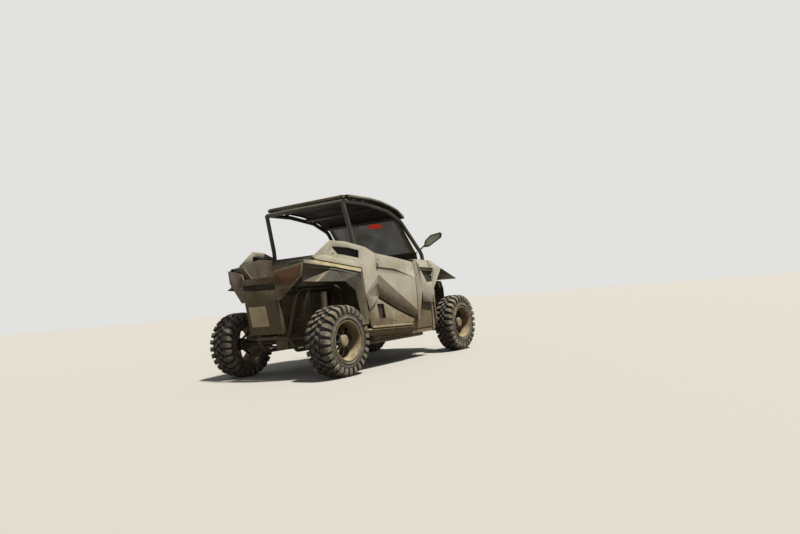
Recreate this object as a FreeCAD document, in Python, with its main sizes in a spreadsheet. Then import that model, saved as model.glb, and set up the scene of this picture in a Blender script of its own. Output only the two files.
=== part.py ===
import FreeCAD, Part

import math
import os
import re

import Sketcher
from FreeCAD import Placement, Rotation, Vector

# A two-seat side by side: tubular cage, hard roof, half doors, long-travel arms and mud tyres.
# Millimetres. +Z is up, the nose looks along -Y and the driver sits on the +X side.
# The origin is on the ground under the middle of the vehicle.
os.makedirs("parts", exist_ok=True)
doc = FreeCAD.newDocument("SideBySide")
sheet = doc.addObject("Spreadsheet::Sheet", "Sizes")

# Driving dimensions: name, millimetres (degrees for angles, plain numbers for counts).
SIZES = [
    # Stance
    ("wheel_base", 2290), ("tyre_radius", 343), ("rear_tyre_outer", 813), ("rear_tyre_width", 280),
    ("front_tyre_outer", 800), ("front_tyre_width", 229), ("lug_count", 27), ("lug_deep", 20),
    # Wheels
    ("bead_radius", 178), ("tyre_wall", 12), ("lip_radius", 195), ("lip_inset", 12), ("rim_wall", 6),
    ("spoke_count", 8), ("spoke_wide", 17), ("spoke_sweep", 52), ("hub_radius", 55),
    ("hub_inset", 50), ("bearing_radius", 38), ("axle_bore", 24), ("running_gap", 0.05),
    # Roof and cage
    ("roof_half", 600), ("roof_tail_half", 515), ("roof_back", 758), ("roof_corner", 700),
    ("roof_front", -300), ("roof_thick", 30), ("roof_high", 1822),
    ("roof_front_high", 1650), ("cage_tube", 46), ("hoop_half", 552), ("hoop_foot_half", 575),
    ("hoop_foot", 668), ("pillar_foot_half", 612), ("pillar_foot", -615), ("pillar_foot_high", 1205),
    ("glass_thick", 5), ("glass_half", 535),
    # Doors and side panels
    ("door_back", 474), ("door_front", -212), ("door_thick", 42), ("shut_gap", 8), ("skin_wall", 9),
    ("belt_half", 695), ("ridge_half", 755), ("sill_half", 740), ("belt_back_high", 1200),
    ("belt_front_high", 1103), ("ridge_back_high", 969), ("ridge_front_high", 547),
    ("door_low_back", 744), ("door_low_front", 475), ("trim_high", 400), ("sill_high", 335),
    ("hinge_radius", 7), ("crease_step", 15), ("foot_in", 26),
    # Rear body
    ("tail_back", 1495), ("tail_high", 1012), ("tail_tip_half", 527), ("tail_tip_high", 1125),
    ("tail_half", 200), ("bed_half", 470), ("bed_floor", 905), ("bed_wall", 8), ("bed_front", 800),
    ("plate_wide", 240), ("plate_tall", 205), ("hanger_half", 225), ("hanger_low", 450),
    # Front body
    ("fender_half", 690), ("fender_high", 1123), ("fender_tip_high", 1031), ("nose_front", -1470),
    ("hood_half", 385), ("cowl_high", 1190),
    # Floor, frame and suspension
    ("floor_high", 292.3), ("tub_wall", 6), ("rail_tube", 38), ("rail_half", 215), ("arm_tube", 28),
    ("king_half", 612), ("king_rise", 105), ("shock_radius", 34), ("shaft_radius", 14),
    # Cab
    ("seat_half", 320), ("seat_wide", 470), ("seat_high", 575), ("seat_front", 20),
    ("wheel_rim", 175), ("grip_radius", 15), ("mirror_reach", 914), ("mirror_wide", 264), ("mirror_high", 1432),
    # Fastening places
    ("anchor_across", 460), ("anchor_along", 300), ("anchor_radius", 14), ("anchor_middle", 1160),
    ("tow_radius", 12), ("tow_thick", 10), ("bolt_gap", 0.3),
]
for row, (alias, number) in enumerate(SIZES, start=1):
    sheet.set(f"A{row}", alias)
    sheet.set(f"B{row}", str(number))
    sheet.setAlias(f"B{row}", alias)
doc.recompute()


class Values:
    """The sheet's cells as plain numbers, by name."""

    def __getattr__(self, alias):
        return float(sheet.get(alias))


S = Values()
NAME = re.compile(r"[a-z]+(?:_[a-z]+)+")
nodes = {}


def bound(words):
    """An expression in the sheet's names, written so that a property can follow it."""
    return NAME.sub(lambda found: "Sizes." + found.group(), str(words))


def worth(words):
    return float(sheet.evalExpression(bound(words)))


def keep(name, thing):
    """Names a finished piece; its label is also its file's name."""
    thing.Label = name
    nodes[name] = thing
    return thing


def body(name):
    made = doc.addObject("PartDesign::Body", name)
    return made


def outline(owner, name, role, corners, off="0"):
    """A closed sketch on one of the body's own planes, each corner tied to the sheet."""
    sketch = owner.newObject("Sketcher::SketchObject", name)
    plane = [f for f in owner.Origin.OriginFeatures if f.Role == role][0]
    sketch.AttachmentSupport = (plane, "")
    sketch.MapMode = "FlatFace"
    sketch.setExpression("AttachmentOffset.Base.z", bound(off))
    flat = [Vector(worth(across), worth(up), 0) for across, up in corners]
    count = len(flat)
    for index in range(count):
        sketch.addGeometry(Part.LineSegment(flat[index], flat[(index + 1) % count]), False)
    for index in range(count):
        sketch.addConstraint(Sketcher.Constraint("Coincident", index, 2, (index + 1) % count, 1))
    for index, (across, up) in enumerate(corners):
        for kind, words in (("DistanceX", across), ("DistanceY", up)):
            rule = sketch.addConstraint(Sketcher.Constraint(kind, -1, 1, index, 1, worth(words)))
            sketch.setExpression(f"Constraints[{rule}]", bound(words))
    return sketch


def circle(owner, name, role, across, up, radius, off="0"):
    """A circle sketch on one of the body's own planes."""
    sketch = owner.newObject("Sketcher::SketchObject", name)
    plane = [f for f in owner.Origin.OriginFeatures if f.Role == role][0]
    sketch.AttachmentSupport = (plane, "")
    sketch.MapMode = "FlatFace"
    sketch.setExpression("AttachmentOffset.Base.z", bound(off))
    centre = Vector(worth(across), worth(up), 0)
    sketch.addGeometry(Part.Circle(centre, Vector(0, 0, 1), worth(radius)), False)
    for kind, words in (("DistanceX", across), ("DistanceY", up)):
        rule = sketch.addConstraint(Sketcher.Constraint(kind, -1, 1, 0, 3, worth(words)))
        sketch.setExpression(f"Constraints[{rule}]", bound(words))
    rule = sketch.addConstraint(Sketcher.Constraint("Radius", 0, worth(radius)))
    sketch.setExpression(f"Constraints[{rule}]", bound(radius))
    return sketch


def pad(owner, name, sketch, length, midplane=False, backwards=False):
    feature = owner.newObject("PartDesign::Pad", name)
    feature.Profile = sketch
    feature.Midplane = midplane
    feature.Reversed = backwards
    feature.setExpression("Length", bound(length))
    return feature


def pocket(owner, name, sketch, length, midplane=False, backwards=False):
    """Cuts, and makes sure that something was cut."""
    doc.recompute()
    before = owner.Shape.Volume
    feature = owner.newObject("PartDesign::Pocket", name)
    feature.Profile = sketch
    feature.Midplane = midplane
    feature.Reversed = backwards
    feature.setExpression("Length", bound(length))
    doc.recompute()
    if not owner.Shape.Volume < before - 1:
        raise ValueError(f"{owner.Name}: {name} cuts nothing")
    return feature


def turned(owner, name, sketch, axis="H_Axis"):
    feature = owner.newObject("PartDesign::Revolution", name)
    feature.Profile = sketch
    feature.ReferenceAxis = (sketch, [axis])
    feature.Angle = 360
    return feature


def shaped(name, shape):
    """A piece whose form is worked out from the sheet in code."""
    made = doc.addObject("Part::Feature", name)
    made.Shape = shape
    return made


def placed(thing, across, along, up):
    for axis, words in (("x", across), ("y", along), ("z", up)):
        thing.setExpression("Placement.Base." + axis, bound(words))
    return thing


def other_side(name, source):
    """The same piece on the vehicle's other side."""
    made = doc.addObject("Part::Mirroring", name)
    made.Source = source
    made.Normal = Vector(1, 0, 0)
    return made


def together(name, pieces):
    """Like pieces that share a node without touching."""
    made = doc.addObject("Part::Compound", name)
    made.Links = pieces
    return keep(name, made)


def both_sides_of(name, shape):
    left = shaped(name + "_left_half", shape)
    return [left, other_side(name + "_right_half", left)]


def tube(points, radius, bend=0):
    """A round tube along straight runs, with a tangent arc at each bend."""
    route = [Vector(*point) for point in points]
    edges = []
    start = route[0]
    for index in range(1, len(route) - 1):
        before = (route[index] - route[index - 1]).normalize()
        after = (route[index + 1] - route[index]).normalize()
        turn = before.getAngle(after)
        if turn < 0.01:
            continue
        back = bend * math.tan(turn / 2)
        first = route[index] - before * back
        last = route[index] + after * back
        inward = (after - before).normalize()
        middle = route[index] + inward * (bend / math.cos(turn / 2) - bend)
        edges.append(Part.makeLine(start, first))
        edges.append(Part.Arc(first, middle, last).toShape())
        start = last
    edges.append(Part.makeLine(start, route[-1]))
    path = Part.Wire(edges)
    ring = Part.Wire([Part.makeCircle(radius, route[0], route[1] - route[0])])
    return path.makePipeShell([ring], True, True)


def rod(start, end, radius):
    start, end = Vector(*start), Vector(*end)
    run = end - start
    return Part.makeCylinder(radius, run.Length, start, run)


def block(low, high):
    low, high = Vector(*low), Vector(*high)
    span = high - low
    return Part.makeBox(span.x, span.y, span.z, low)


def fused(shapes):
    whole = shapes[0].multiFuse(shapes[1:]) if len(shapes) > 1 else shapes[0]
    return whole.removeSplitter()


def flipped(shape):
    return shape.mirror(Vector(0, 0, 0), Vector(1, 0, 0))


def both_sides(shapes):
    return list(shapes) + [flipped(shape) for shape in shapes]


def solved(rows, wall):
    """The shortest step that takes a corner back by the wall from each face that meets there."""
    step = Vector(0, 0, 0)
    for turn in range(400):
        for normal in rows:
            miss = step.dot(normal) + wall
            step = step - normal * miss
    return step


def across_of(corners):
    """The direction that a loop of corners faces."""
    total = Vector(0, 0, 0)
    for index, corner in enumerate(corners):
        total = total + corner.cross(corners[(index + 1) % len(corners)])
    return total.normalize()


def ears_of(corners):
    """Cuts a loop into triangles, ear by ear, so that it may bend inwards and be slightly warped."""
    facing = across_of(corners)
    left = list(corners)
    trios = []
    while len(left) > 3:
        best = None
        for index in range(len(left)):
            first, tip, last = left[index - 1], left[index], left[(index + 1) % len(left)]
            turn = (tip - first).cross(last - tip).dot(facing)
            if turn <= 1e-6:
                continue
            others = [corner for corner in left if corner not in (first, tip, last)]
            inside = False
            for corner in others:
                signs = [(end - start).cross(corner - start).dot(facing) >= -1e-6
                         for start, end in ((first, tip), (tip, last), (last, first))]
                inside = inside or all(signs)
            shape = turn / max((first - last).Length, 1e-6)
            if not inside and (best is None or shape > best[0]):
                best = (shape, index)
        index = best[1]
        trios.append([left[index - 1], left[index], left[(index + 1) % len(left)]])
        left.pop(index)
    return trios + [left]


def face_of(corners):
    """One flat face, or triangles where the corners aren't in one plane."""
    facing = across_of(corners)
    if max(abs((corner - corners[0]).dot(facing)) for corner in corners) < 1e-7:
        return [Part.Face(Part.makePolygon(corners + [corners[0]]))]
    return [Part.Face(Part.makePolygon(trio + [trio[0]])) for trio in ears_of(corners)]


def moulding(points, faces, wall):
    """A moulded panel: flat facets between named corners, backed by a wall of one thickness.

    Each face lists its corners clockwise as seen from outside.
    """
    outer = {name: Vector(*place) for name, place in points.items()}
    normals = {name: [] for name in outer}
    edges = set()
    for face in faces:
        names = face.split()
        for index, name in enumerate(names):
            edges.add((name, names[(index + 1) % len(names)]))
            normals[name].append(across_of([outer[other] for other in reversed(names)]))
    inner = {name: outer[name] + solved(rows, wall) for name, rows in normals.items() if rows}
    made = []
    for face in faces:
        names = face.split()
        made += face_of([outer[name] for name in names])
        made += face_of([inner[name] for name in names])
    for first, last in edges:
        if (last, first) in edges:
            continue
        made += face_of([outer[last], outer[first], inner[first], inner[last]])
    shell = Part.makeShell(made)
    shell.sewShape()
    solid = Part.makeSolid(shell)
    if solid.Volume < 0:
        solid.reverse()
    return solid


def mirrored_points(points):
    """Adds each corner's twin on the other side, its name ending in an apostrophe."""
    twins = {name + "'": (-place[0], place[1], place[2]) for name, place in points.items()}
    return {**points, **twins}


FRONT_AXLE = -S.wheel_base / 2
REAR_AXLE = S.wheel_base / 2
AXLE_HIGH = S.tyre_radius


# Tyres: a hollow carcass that closes on the rim's beads, with rows of mud lugs.
# Each row of lugs: half its width round the tyre, its start in pitches, its outline from the middle out.
SHOULDER_LUG = [
    ("{half} - 78", "tyre_radius - lug_deep - 8"), ("{half} - 78", "tyre_radius - 0.5"),
    ("{half} - 30", "tyre_radius - 1.5"), ("{half} - 7", "tyre_radius - lug_deep - 2"),
    ("{half} - 1", "tyre_radius - lug_deep - 32"), ("{half} - 5", "tyre_radius - 84"),
    ("{half} - 22", "tyre_radius - 84"), ("{half} - 54", "tyre_radius - lug_deep - 14"),
]
CROWN_LUG = [
    ("4", "tyre_radius - lug_deep - 8"), ("4", "tyre_radius - 0.5"), ("{half} - 92", "tyre_radius - 0.5"),
    ("{half} - 92", "tyre_radius - lug_deep - 8"),
]
LUG_ROWS = [(SHOULDER_LUG, 38, 1, 0.0), (SHOULDER_LUG, 38, -1, 0.5), (CROWN_LUG, 30, 1, 0.25), (CROWN_LUG, 30, -1, 0.75)]


def tyre(name, width, along, centre):
    """The tyre's shape about its own middle."""
    made = body(name)
    half = f"{width} / 2"
    deep = "tyre_radius - lug_deep"
    section = [
        (f"0 - {half} + 44", "bead_radius"), (f"0 - {half} + 22", "bead_radius + 14"),
        (f"0 - {half} + 8", "bead_radius + 70"), (f"0 - {half} + 14", f"{deep} - 42"),
        (f"0 - {half} + 40", f"{deep} - 7"), (f"0 - {half} + 78", deep), (f"{half} - 78", deep),
        (f"{half} - 40", f"{deep} - 7"), (f"{half} - 14", f"{deep} - 42"),
        (f"{half} - 8", "bead_radius + 70"), (f"{half} - 22", "bead_radius + 14"), (f"{half} - 44", "bead_radius"),
        (f"{half} - 44 - tyre_wall", "bead_radius + 14"), (f"{half} - 20 - tyre_wall", "bead_radius + 70"),
        (f"{half} - 60", f"{deep} - 16"), (f"0 - {half} + 60", f"{deep} - 16"),
        (f"0 - {half} + 20 + tyre_wall", "bead_radius + 70"), (f"0 - {half} + 44 + tyre_wall", "bead_radius + 14"),
    ]
    turned(made, "Carcass", outline(made, "Section", "XY_Plane", section))
    doc.recompute()
    carcass = made.Shape
    lugs = []
    for corners, thick, side, start in LUG_ROWS:
        ring = [Vector(side * worth(across.format(half=half)), worth(up), -thick / 2) for across, up in corners]
        blank = Part.Face(Part.makePolygon(ring + [ring[0]])).extrude(Vector(0, 0, thick))
        for step in range(int(S.lug_count)):
            lug = blank.copy()
            lug.rotate(Vector(0, 0, 0), Vector(1, 0, 0), 360 * (step + start) / S.lug_count)
            lugs.append(lug)
    return carcass.fuse(Part.makeCompound(lugs))


# Rims: a barrel with rolled lips, twin spokes and a raised centre cap.
def rim(name, width, along, centre, side):
    made = body(name)
    half = f"{width} / 2"
    barrel = [
        (f"0 - {half} + 43", "bead_radius - 0.3"), (f"{half} - 43", "bead_radius - 0.3"),
        (f"{half} - 19", "bead_radius + 12"), (f"{half} - lip_inset - rim_wall", "lip_radius"),
        (f"{half} - lip_inset", "lip_radius"), (f"{half} - lip_inset - 2", "bead_radius + 7"),
        (f"{half} - 39", "bead_radius - rim_wall"), (f"0 - {half} + 39", "bead_radius - rim_wall"),
        (f"0 - {half} + lip_inset + 2", "bead_radius + 7"), (f"0 - {half} + lip_inset", "lip_radius"),
        (f"0 - {half} + lip_inset + rim_wall", "lip_radius"), (f"0 - {half} + 19", "bead_radius + 12"),
    ]
    turned(made, "Barrel", outline(made, "Section", "XY_Plane", barrel))
    face = f"{half} - hub_inset"
    hub = [
        (f"{face} - 50", "axle_bore"), (f"{face} - 50", "hub_radius + 14"), (f"{face} - 24", "hub_radius + 14"),
        (f"{face} - 6", "hub_radius"), (face, "hub_radius - 8"), (face, "0"), (f"{face} - 14", "0"),
        (f"{face} - 14", "axle_bore"),
    ]
    turned(made, "Hub", outline(made, "HubSection", "XY_Plane", hub))
    spoke = [
        (f"{face} - 10", "hub_radius - 6"), (f"{face} - 6 - spoke_sweep", "bead_radius - rim_wall + 2"),
        (f"{face} - 30 - spoke_sweep", "bead_radius - rim_wall + 2"), (f"{face} - 42", "hub_radius - 6"),
    ]
    first = pad(made, "Spoke", outline(made, "SpokeSide", "XY_Plane", spoke), "spoke_wide", midplane=True)
    doc.recompute()
    ring = made.newObject("PartDesign::PolarPattern", "Spokes")
    ring.Originals = [first]
    ring.Axis = ([f for f in made.Origin.OriginFeatures if f.Role == "X_Axis"][0], [""])
    ring.Angle = 360
    ring.setExpression("Occurrences", "Sizes.spoke_count")
    made.Tip = ring
    if side < 0:
        made.Placement = Placement(Vector(0, 0, 0), Rotation(Vector(0, 0, 1), 180))
    placed(made, centre, along, "tyre_radius")
    return keep(name, made)


REAR_CENTRE = "(rear_tyre_outer - rear_tyre_width / 2)"
FRONT_CENTRE = "(front_tyre_outer - front_tyre_width / 2)"
# Name, tyre width, place along the vehicle, tyre centre across it, side.
WHEELS = [
    ("rear_left", "rear_tyre_width", "wheel_base / 2", REAR_CENTRE, 1),
    ("rear_right", "rear_tyre_width", "wheel_base / 2", "0 - " + REAR_CENTRE, -1),
    ("front_left", "front_tyre_width", "0 - wheel_base / 2", FRONT_CENTRE, 1),
    ("front_right", "front_tyre_width", "0 - wheel_base / 2", "0 - " + FRONT_CENTRE, -1),
]
for where, width, along, centre, side in WHEELS:
    if side > 0:
        treaded = tyre("tread_" + where, width, along, centre)
        treaded.translate(Vector(worth(centre), worth(along), S.tyre_radius))
        left_tyre = keep("tyre_" + where, shaped("tyre_" + where, treaded))
    else:
        keep("tyre_" + where, other_side("tyre_" + where, left_tyre))
    rim("rim_" + where, width, along, centre, side)


# Frame: twin lower rails, rock rails under the doors, and the towers that carry the suspension.
RAIL_HIGH = S.floor_high - S.rail_tube / 2 - 0.3
TOWER_HIGH = 770
PIVOT_IN = S.rail_half + 28
UPPER_PIVOT = AXLE_HIGH + S.king_rise + 32
TIE_BACK = 115
TIE_IN = 16
LEVER_HIGH = AXLE_HIGH - 26
RACK_HIGH = LEVER_HIGH + 16
RACK_RADIUS = 13
BED_UNDER = S.bed_floor - S.bed_wall + 0.6


def ears(across, along, up, reach):
    """The two plates that hold one pivot sleeve, reaching out from a rail."""
    return [block((across - 4, along + side * 30 - 3, up - 17), (across + reach, along + side * 30 + 3, up + 17))
            for side in (-1, 1)]


def main_frame():
    """The lower rails with their cross tubes, the rock rails, the rack's housing and the tow eye."""
    rail = S.rail_half
    radius = S.rail_tube / 2
    outer = S.sill_half - 90
    front = FRONT_AXLE - 190
    back = REAR_AXLE + 185
    sides = [
        tube([(rail, front, RAIL_HIGH + 90), (rail, FRONT_AXLE - 112, RAIL_HIGH),
              (rail, REAR_AXLE + 100, RAIL_HIGH), (rail, back, RAIL_HIGH + 130)], radius, 60),
        tube([(rail, -480, RAIL_HIGH), (outer, -460, RAIL_HIGH), (outer, 600, RAIL_HIGH),
              (rail, 640, RAIL_HIGH)], radius, 110),
        rod((rail, 640, RAIL_HIGH), (outer, 610, RAIL_HIGH), radius),
        block((325, 606, RAIL_HIGH), (329.7, 652, RAIL_HIGH + 92)),
        block((414.3, 606, RAIL_HIGH), (419, 652, RAIL_HIGH + 92)),
    ]
    for along, up in ((FRONT_AXLE + TIE_BACK, RACK_HIGH - 34), (FRONT_AXLE, AXLE_HIGH - 84.4)):
        low, high = sorted((RAIL_HIGH, up))
        sides.append(block((rail - 8, along - 13, low - 8), (rail + 2, along + 13, high + 8)))
    for along in (FRONT_AXLE - 95, FRONT_AXLE + 95):
        sides += ears(rail, along, RAIL_HIGH + 12, 62)
    spans = [
        rod((-rail, front, RAIL_HIGH + 90), (rail, front, RAIL_HIGH + 90), radius),
        rod((-rail, -480, RAIL_HIGH), (rail, -480, RAIL_HIGH), radius),
        rod((-rail, FRONT_AXLE + TIE_BACK, RACK_HIGH - 34), (rail, FRONT_AXLE + TIE_BACK, RACK_HIGH - 34), 14),
        rod((-rail, 640, RAIL_HIGH), (rail, 640, RAIL_HIGH), radius),
        rod((-rail, FRONT_AXLE, AXLE_HIGH - 84.4), (rail, FRONT_AXLE, AXLE_HIGH - 84.4), 14),
        rod((-rail, back, RAIL_HIGH + 130), (rail, back, RAIL_HIGH + 130), radius),
    ]
    housing = rod((-150, FRONT_AXLE + TIE_BACK, RACK_HIGH), (150, FRONT_AXLE + TIE_BACK, RACK_HIGH), 22)
    housing = housing.cut(rod((-160, FRONT_AXLE + TIE_BACK, RACK_HIGH), (160, FRONT_AXLE + TIE_BACK, RACK_HIGH),
                              RACK_RADIUS + S.running_gap))
    tab = block((-28, front - 92, RAIL_HIGH + 57), (28, front + 12, RAIL_HIGH + 57 + S.tow_thick))
    tab = tab.fuse(block((-28, front - 10, RAIL_HIGH + 57), (28, front + 12, RAIL_HIGH + 80)))
    eye = Part.makeCylinder(S.tow_radius, S.tow_thick + 4, Vector(0, front - 64, RAIL_HIGH + 55))
    parts = both_sides(sides) + spans + [housing, tab.cut(eye)]
    return parts[0].multiFuse(parts[1:])


def subframe(tubes, spans, seats):
    """Tubes of a bolted subframe, each foot cut flat just above the tube that it stands on."""
    joined = both_sides(tubes) + spans
    whole = joined[0].multiFuse(joined[1:])
    for start, end, high in seats:
        whole = whole.cut(block((-400, start, 0), (400, end, high + S.rail_tube / 2 + S.bolt_gap)))
    return whole


def front_subframe():
    rail = S.rail_half
    radius = S.rail_tube / 2
    front = FRONT_AXLE - 190
    tubes = [
        tube([(rail - 20, front, RAIL_HIGH + 80), (rail + 60, FRONT_AXLE - 40, TOWER_HIGH),
              (rail + 90, FRONT_AXLE + 260, TOWER_HIGH), (rail, -745, RAIL_HIGH)], radius, 90),
        rod((rail + 68, FRONT_AXLE + 40, TOWER_HIGH), (rail, FRONT_AXLE + 40, RAIL_HIGH), radius - 3),
        rod((PIVOT_IN, FRONT_AXLE - 128, UPPER_PIVOT), (PIVOT_IN, FRONT_AXLE + 124, UPPER_PIVOT), radius - 5),
    ]
    for along in (FRONT_AXLE - 95, FRONT_AXLE + 95):
        tubes += ears(PIVOT_IN, along, UPPER_PIVOT, 56)
    spans = [rod((-rail - 60, FRONT_AXLE - 40, TOWER_HIGH), (rail + 60, FRONT_AXLE - 40, TOWER_HIGH), radius)]
    return subframe(tubes, spans, [(front - 60, front + 45, RAIL_HIGH + 90), (front + 45, -600, RAIL_HIGH)])


def rear_subframe():
    rail = S.rail_half
    radius = S.rail_tube / 2
    back = REAR_AXLE + 185
    high = BED_UNDER - 19.9
    tubes = [
        tube([(rail - 20, back, RAIL_HIGH + 120), (rail + 95, back - 60, high),
              (rail + 170, 700, high), (rail + 75, 640, RAIL_HIGH)], radius, 100),
        rod((rail + 110, REAR_AXLE - 20, BED_UNDER - 30), (rail, REAR_AXLE - 180, RAIL_HIGH), radius - 3),
    ]
    spans = [rod((-rail - 95, back - 60, high), (rail + 95, back - 60, high), radius)]
    return subframe(tubes, spans, [(back - 45, back + 60, RAIL_HIGH + 130), (600, back - 45, RAIL_HIGH)])


keep("frame", shaped("frame", Part.makeCompound([main_frame(), front_subframe(), rear_subframe()])))


# Front suspension: double A-arms with a sleeve at each frame pivot and an eye on the kingpin.
KING = (S.king_half, FRONT_AXLE, AXLE_HIGH)
PIN_RADIUS = 10
EYE_TALL = 26


def arm(eye_high, inner, spread, pivot_high):
    eye = Vector(S.king_half, FRONT_AXLE, eye_high)
    ring = Part.makeCylinder(22, EYE_TALL, eye - Vector(0, 0, EYE_TALL / 2))
    parts = [ring]
    for side in (-1, 1):
        pivot = Vector(inner, FRONT_AXLE + side * spread, pivot_high)
        parts.append(Part.makeCylinder(18, 53.4, pivot - Vector(0, 26.7, 0), Vector(0, 1, 0)))
        parts.append(rod(pivot, eye - Vector(12, 0, 0), S.arm_tube / 2 - 2))
    parts.append(rod((S.king_half - 150, FRONT_AXLE - spread * 0.42, eye_high + (pivot_high - eye_high) * 0.42),
                     (S.king_half - 150, FRONT_AXLE + spread * 0.42, eye_high + (pivot_high - eye_high) * 0.42), 11))
    whole = fused(parts)
    bore = Part.makeCylinder(PIN_RADIUS + S.running_gap, EYE_TALL + 2, eye - Vector(0, 0, EYE_TALL / 2 + 1))
    return whole.cut(bore)


front_arms = [arm(AXLE_HIGH - S.king_rise, S.rail_half + 40, 95, RAIL_HIGH + 12),
              arm(AXLE_HIGH + S.king_rise, PIVOT_IN + 36, 95, UPPER_PIVOT)]
keep("front_arms", shaped("front_arms", Part.makeCompound(both_sides(front_arms))))


# Knuckles: an upright between the eyes, a spindle for the wheel and an arm for the tie rod.
def knuckle():
    rise = S.king_rise - EYE_TALL / 2 - 2
    upright = Part.makeCylinder(21, 2 * rise, Vector(S.king_half, FRONT_AXLE, AXLE_HIGH - rise))
    face = S.front_tyre_outer - S.hub_inset
    pin = Part.makeCylinder(PIN_RADIUS, 2 * (S.king_rise + 18),
                            Vector(S.king_half, FRONT_AXLE, AXLE_HIGH - S.king_rise - 18))
    spindle = rod(KING, (face - 15, FRONT_AXLE, AXLE_HIGH), S.axle_bore - S.running_gap)
    collar = rod(KING, (face - 52, FRONT_AXLE, AXLE_HIGH), S.bearing_radius)
    end = Vector(S.king_half - TIE_IN, FRONT_AXLE + TIE_BACK, LEVER_HIGH)
    boss = Part.makeCylinder(16, 16, end - Vector(0, 0, 8))
    lever = rod((S.king_half, FRONT_AXLE, LEVER_HIGH), end, 7)
    return fused([upright, pin, spindle, collar, boss, lever])


knuckle_left = keep("knuckle_left", shaped("knuckle_left", knuckle()))
keep("knuckle_right", other_side("knuckle_right", knuckle_left))


# Rack: one bar with a tie rod and an eye at each end; each eye lies on its knuckle's lever.
def rack():
    high = RACK_HIGH
    along = FRONT_AXLE + TIE_BACK
    bar = rod((-250, along, high), (250, along, high), RACK_RADIUS)
    ties = []
    for side in (-1, 1):
        tip = side * (S.king_half - TIE_IN)
        ties.append(rod((side * 240, along, high), (tip, along, high), 8))
        ties.append(Part.makeCylinder(15, 14, Vector(tip, along, high - 7)))
    return fused([bar] + ties)


keep("rack", shaped("rack", rack()))


# Shocks: a damper in a coil spring between two eyes.
def shock(low, high):
    low, high = Vector(*low), Vector(*high)
    run = high - low
    length = run.Length
    radius = S.shock_radius
    coils = 7
    pitch = length * 0.58 / coils
    profile = [(0, 10), (14, 10), (14, 40), (radius, 40)]
    for turn in range(coils):
        start = 46 + turn * pitch
        profile += [(radius, start), (radius, start + pitch * 0.45), (radius - 9, start + pitch * 0.55),
                    (radius - 9, start + pitch * 0.9)]
    top = 46 + coils * pitch
    profile += [(radius, top), (radius, top + 8), (22, top + 14), (22, length - 22), (0, length - 22)]
    points = [Vector(across, 0, up) for across, up in profile]
    face = Part.Face(Part.makePolygon(points + [points[0]]))
    damper = face.revolve(Vector(0, 0, 0), Vector(0, 0, 1), 360)
    eyes = [Part.makeCylinder(15, 30, Vector(0, -15, up), Vector(0, 1, 0)) for up in (0, length)]
    necks = [rod((0, 0, 0), (0, 0, 20), 9), rod((0, 0, length - 30), (0, 0, length), 9)]
    whole = fused([damper] + eyes + necks)
    whole.Placement = Placement(low, Rotation(Vector(0, 0, 1), run))
    return whole


UPPER_LINK = (S.king_half - 150, FRONT_AXLE, AXLE_HIGH + S.king_rise + 40)
front_shock = shock(UPPER_LINK, (S.rail_half + 99, FRONT_AXLE - 2, TOWER_HIGH + 4))
rear_shock = shock((452, 962, AXLE_HIGH + 55.5), (S.rail_half + 156, 800, BED_UNDER - 59.3))
keep("shocks", shaped("shocks", Part.makeCompound(both_sides([front_shock, rear_shock]))))


# Rear suspension: a trailing arm each side with its hub carrier and spindle, held by two radius rods.
def trailing_arm():
    face = S.rear_tyre_outer - S.hub_inset
    radius = S.arm_tube / 2 + 6
    carrier_in = face - 150
    swing = tube([(372, 628, RAIL_HIGH + 70), (466, 950, AXLE_HIGH + 6), (carrier_in + 2, REAR_AXLE - 60, AXLE_HIGH)],
                 radius, 90)
    sleeve = Part.makeCylinder(27, 84, Vector(330, 628, RAIL_HIGH + 70), Vector(1, 0, 0))
    carrier = Part.makeCylinder(62, 26, Vector(carrier_in - 12, REAR_AXLE, AXLE_HIGH), Vector(1, 0, 0))
    spindle = rod((carrier_in, REAR_AXLE, AXLE_HIGH), (face - 15, REAR_AXLE, AXLE_HIGH),
                  S.axle_bore - S.running_gap)
    collar = rod((carrier_in, REAR_AXLE, AXLE_HIGH), (face - 52, REAR_AXLE, AXLE_HIGH), S.bearing_radius)
    perch = block((430, 940, AXLE_HIGH), (474, 984, AXLE_HIGH + 36))
    return fused([swing, sleeve, carrier, spindle, collar, perch])


def radius_rods():
    face = S.rear_tyre_outer - S.hub_inset
    parts = []
    for rise in (-36, 46):
        parts.append(rod((81.5, REAR_AXLE + 58, AXLE_HIGH + rise * 0.9),
                         (face - 162.8, REAR_AXLE + 20, AXLE_HIGH + rise), 12))
    return parts


keep("trailing_arms", shaped("trailing_arms", Part.makeCompound(both_sides([trailing_arm()]))))
keep("radius_rods", shaped("radius_rods", Part.makeCompound(both_sides(radius_rods()))))


# Power unit: engine block behind the seats with the gearcase on the rear axle line.
def engine():
    block_part = block((-190, 690, RAIL_HIGH + 45), (190, 1010, BED_UNDER - 60))
    feet = [block((side * 205 - 28, along, RAIL_HIGH + S.rail_tube / 2 + 0.3), (side * 205 + 28, along + 50, RAIL_HIGH + 60))
            for side in (-1, 1) for along in (715, 820)]
    gearcase = block((-80, 990, AXLE_HIGH - 62), (80, REAR_AXLE + 80, AXLE_HIGH + 78))
    return fused([block_part, gearcase] + feet)


keep("engine", shaped("engine", engine()))


# Drive: half shafts with rubber boots, and the front gearcase.
def half_shaft(along, inner, outer):
    high = AXLE_HIGH
    shaft = rod((inner, along, high), (outer, along, high), S.shaft_radius)
    inner_boot = Part.makeCone(42, 20, 70, Vector(inner, along, high), Vector(1, 0, 0))
    outer_boot = Part.makeCone(18, 26, 62, Vector(outer - 62, along, high), Vector(1, 0, 0))
    return fused([shaft, inner_boot, outer_boot])


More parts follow.
